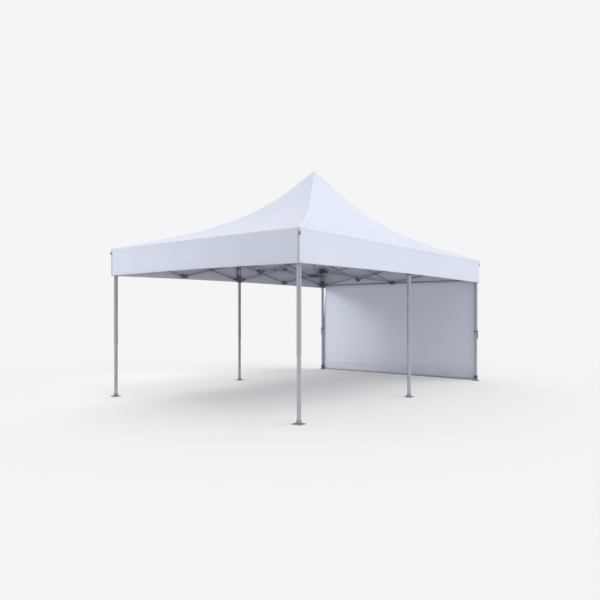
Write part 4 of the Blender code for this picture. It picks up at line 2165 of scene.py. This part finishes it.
@dataclass
class CentrePole:
    """The pole under the peak, with its hubs and its cap."""

    sides: int = 36
    hub_rounding: float = 0.004
    pivot_inset: float = 0.014
    crown: tuple[tuple[float, float], ...] = ((0.0, 0.0), (0.010, 0.0004), (0.018, 0.003))
    dome_steps: int = 5

    def pole(self) -> Object:
        """The round pole.

        Returns:
            The piece.
        """
        low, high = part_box("centre_pole")
        inner = high.x - TUBE_WALL
        profile = [(inner, low.z), (high.x, low.z), (high.x, high.z), (inner, high.z)]
        pole = piece("pole_tube", turned(profile, self.sides, closed=True), ANODISED)
        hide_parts("centre_pole")
        return pole

    def cap(self) -> Object:
        """The domed cap that carries the peak.

        Returns:
            The piece.
        """
        low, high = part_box("peak_cap")
        radius = high.x
        height = high.z - low.z
        inner, fall = self.crown[-1]
        profile = [(reach, high.z - sunk) for reach, sunk in self.crown]
        for step in range(1, self.dome_steps + 1):
            share = step / self.dome_steps
            profile.append((inner + (radius - inner) * share,
                            high.z - fall - (height * 0.52 - fall) * share ** 1.1))
        profile += [(radius, low.z + height * 0.3), (radius - 0.003, low.z + 0.002), (radius - 0.006, low.z),
                    (0.0, low.z)]
        cap = piece("peak_cap_moulding", turned(profile, self.sides), SLATE_NYLON, smooth=50.0)
        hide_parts("peak_cap")
        return cap

    def hubs(self) -> list[Object]:
        """The two four-way hubs with their bolts.

        Returns:
            The pieces.
        """
        made = []
        for node, pivot in (("pole_hub_lower", LOW_PIVOT_Z), ("pole_hub_upper", TOP_PIVOT_Z)):
            hub = piece(f"{node}_moulding", rounded_copy(node, self.hub_rounding), SLATE_NYLON)
            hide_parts(node)
            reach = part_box(node)[1].x - self.pivot_inset
            together = Gathering()
            for quarter in range(4):
                arm = facing(quarter * math.pi / 2)
                pivot_bolts(together, arm * reach + UP * pivot, left_of(arm))
            made += [hub, piece(f"{node}_bolts", together.bm, BOLT_STEEL)]
        return made

    def build(self) -> list[Object]:
        """Build the pole.

        Returns:
            The pieces.
        """
        return [self.pole(), self.cap(), *self.hubs()]


@dataclass(frozen=True)
class Accent:
    """A soft spot lamp: its place, aim, power in watts, cone in degrees, radius and what it lights."""

    name: str
    at: Size
    aim: Size
    power: float
    cone: float
    lights: tuple[str, ...]
    radius: float = 0.5


ACCENTS = (
    Accent("wall_accent", (-4.0, 5.0, 3.1), (2.98, 2.1, 0.85), 1330.0, 32.0, ("side_wall", "wall_"), 0.8),
    Accent("border_accent", (-8.5, 5.0, 3.4), (-3.0, 2.0, 2.4), 410.0, 48.0,
           ("canopy", "eave", "border", "corner", "hip", "studio_floor", "lower", "foot")),
    Accent("floor_accent", (-0.3, 4.0, 6.0), (-0.9, 2.2, 0.0), 460.0, 70.0, ("studio_floor",), 1.2),
    Accent("end_accent", (-4.4, 3.4, 5.0), (-3.1, 1.6, 0.0), 185.0, 46.0, ("studio_floor",), 1.2),
)


@dataclass
class Studio:
    """The plain floor, the soft light and the camera."""

    floor_reach: float = 300.0
    floor_drop: float = 0.0015
    backdrop: float = 0.913
    floor_glow: float = 0.12
    key: Size = (0.22, -0.64, 0.735)
    key_strength: float = 1.35
    key_angle: float = 60.0
    # Painted reflection: the side of the world that only gloss sees darker, and how dark it is there
    painted_reflection_side: Size = (-0.75, -0.66, 0.0)
    painted_reflection_level: float = 0.45
    # Painted reflection of the tent's inner shade: the screen's reach and its faint glow
    shade_reflection_reach: Size = (2.1, 1.2, 1.95)
    shade_reflection_level: float = 0.26
    frame_side: float = 600.0
    focal_pixels: float = 571.9
    horizon_pixel: float = 312.8
    sensor: float = 36.0
    eye: Size = (-8.562, -6.366, 1.393)
    heading: float = 0.665

    def floor(self) -> Object:
        """A floor that meets the backdrop at the horizon without a line.

        Returns:
            The floor.
        """
        lit = self.backdrop + Vector(self.key).normalized().z * self.key_strength / math.pi
        grey = (self.backdrop - self.floor_glow) / lit
        bm = bmesh.new()
        bmesh.ops.create_grid(bm, x_segments=2, y_segments=2, size=self.floor_reach)
        bmesh.ops.translate(bm, vec=UP * -self.floor_drop, verts=bm.verts)
        finish = FloorFinish("studio_floor", None, (grey, grey, grey), self.floor_glow)
        floor = placed(finish.name, bm, finish)
        return floor

    def shade_reflection_screen(self) -> Object:
        """A painted reflection of the shade inside the tent: a dim, faintly glowing screen round the middle
        of the floor that only gloss mirrors.

        Returns:
            The painted reflection screen.
        """
        bm = bmesh.new()
        bmesh.ops.create_cone(bm, cap_ends=False, segments=48, radius1=1.0, radius2=1.0, depth=1.0)
        bmesh.ops.translate(bm, vec=(0, 0, 0.5), verts=bm.verts)
        bmesh.ops.scale(bm, vec=self.shade_reflection_reach, verts=bm.verts)
        finish = FloorFinish("studio_screen", None, (0.0, 0.0, 0.0), self.shade_reflection_level)
        shade_reflection_screen = placed(finish.name, bm, finish)
        # Seen only in gloss: a painted reflection of the shade inside the tent
        for kind in ("camera", "diffuse", "transmission", "volume_scatter", "shadow"):
            setattr(shade_reflection_screen, f"visible_{kind}", False)
        return shade_reflection_screen

    def lamp(self, data: Light, way: Vector, at: Size = (0.0, 0.0, 0.0)) -> Object:
        """Hang a lamp that only lights, and can't be seen itself.

        Args:
            data: the lamp.
            way: the direction in which it stands, as seen from what it lights.
            at: its place.

        Returns:
            The lamp's object.
        """
        lamp = bpy.data.objects.new(data.name, data)
        lamp.location = at
        lamp.rotation_euler = way.to_track_quat("Z", "Y").to_euler()
        lamp.visible_camera = False
        bpy.context.scene.collection.objects.link(lamp)
        return lamp

    def world(self) -> World:
        """An even pale backdrop, with a painted dark reflection on one side: a darker side that only gloss
        mirrors.

        Returns:
            The world.
        """
        world = bpy.data.worlds.new("studio")
        tree = Tree(world)
        way = tree.node("TexCoord", {}).outputs["Generated"]
        share = tree.node("VectorMath", {0: way, 1: self.painted_reflection_side}, operation="DOT_PRODUCT").outputs["Value"]
        level = tree.fade(share, 0.15, 0.75, 1.0, self.painted_reflection_level)
        # Only glossy rays see the darker side: a painted reflection
        gloss = tree.node("LightPath", {}).outputs["Is Glossy Ray"]
        strength = tree.node("Mix", {"Factor": gloss, "A": 1.0, "B": level}).outputs["Result"]
        tree.set({"Color": (self.backdrop, self.backdrop, self.backdrop, 1.0), "Strength": strength})
        return world

    def light(self) -> None:
        """Light the scene: the backdrop, a soft key from the front, and the accents."""
        scene = bpy.context.scene
        scene.view_settings.view_transform = "Standard"
        scene.world = self.world()
        key = bpy.data.lights.new("key", "SUN")
        key.energy = self.key_strength
        key.angle = math.radians(self.key_angle)
        self.lamp(key, Vector(self.key))
        for accent in ACCENTS:
            spot = bpy.data.lights.new(accent.name, "SPOT")
            spot.energy = accent.power
            spot.spot_size = math.radians(accent.cone)
            spot.spot_blend = 1.0
            spot.shadow_soft_size = accent.radius
            lamp = self.lamp(spot, Vector(accent.at) - Vector(accent.aim), accent.at)
            lit = bpy.data.collections.new(accent.name)
            for obj in bpy.data.objects:
                if obj.name.startswith(accent.lights):
                    lit.objects.link(obj)
            lamp.light_linking.receiver_collection = lit

    def camera(self) -> Object:
        """The camera at the photograph's place, with the shift that its framing needs.

        Returns:
            The camera.
        """
        data = bpy.data.cameras.new("camera")
        data.sensor_width = self.sensor
        data.lens = self.focal_pixels / self.frame_side * self.sensor
        data.shift_y = (self.horizon_pixel - self.frame_side / 2) / self.frame_side
        data.clip_end = 1000.0
        camera = bpy.data.objects.new("camera", data)
        camera.location = self.eye
        camera.rotation_euler = (math.pi / 2, 0.0, self.heading - math.pi / 2)
        bpy.context.scene.collection.objects.link(camera)
        bpy.context.scene.camera = camera
        return camera

    def build(self) -> list[Object]:
        """Set up the studio.

        Returns:
            The floor, the painted reflection screen and the camera.
        """
        made = [self.floor(), self.shade_reflection_screen(), self.camera()]
        self.light()
        return made


def main() -> None:
    """Build every sub-assembly in order and report its pieces."""
    logging.basicConfig(level=logging.INFO, format="%(message)s")
    parts = [Cover(), SideWall(), CentrePole()]
    parts += [Leg(name) for name in LEG_NAMES]
    parts += [Truss(node) for node in sorted(frame["nodes"]) if node.startswith("truss_")]
    for part in (*parts, Studio()):
        for made in part.build():
            LOG.info("%s: %s", type(part).__name__, made.name)


if __name__ == "__main__":
    main()
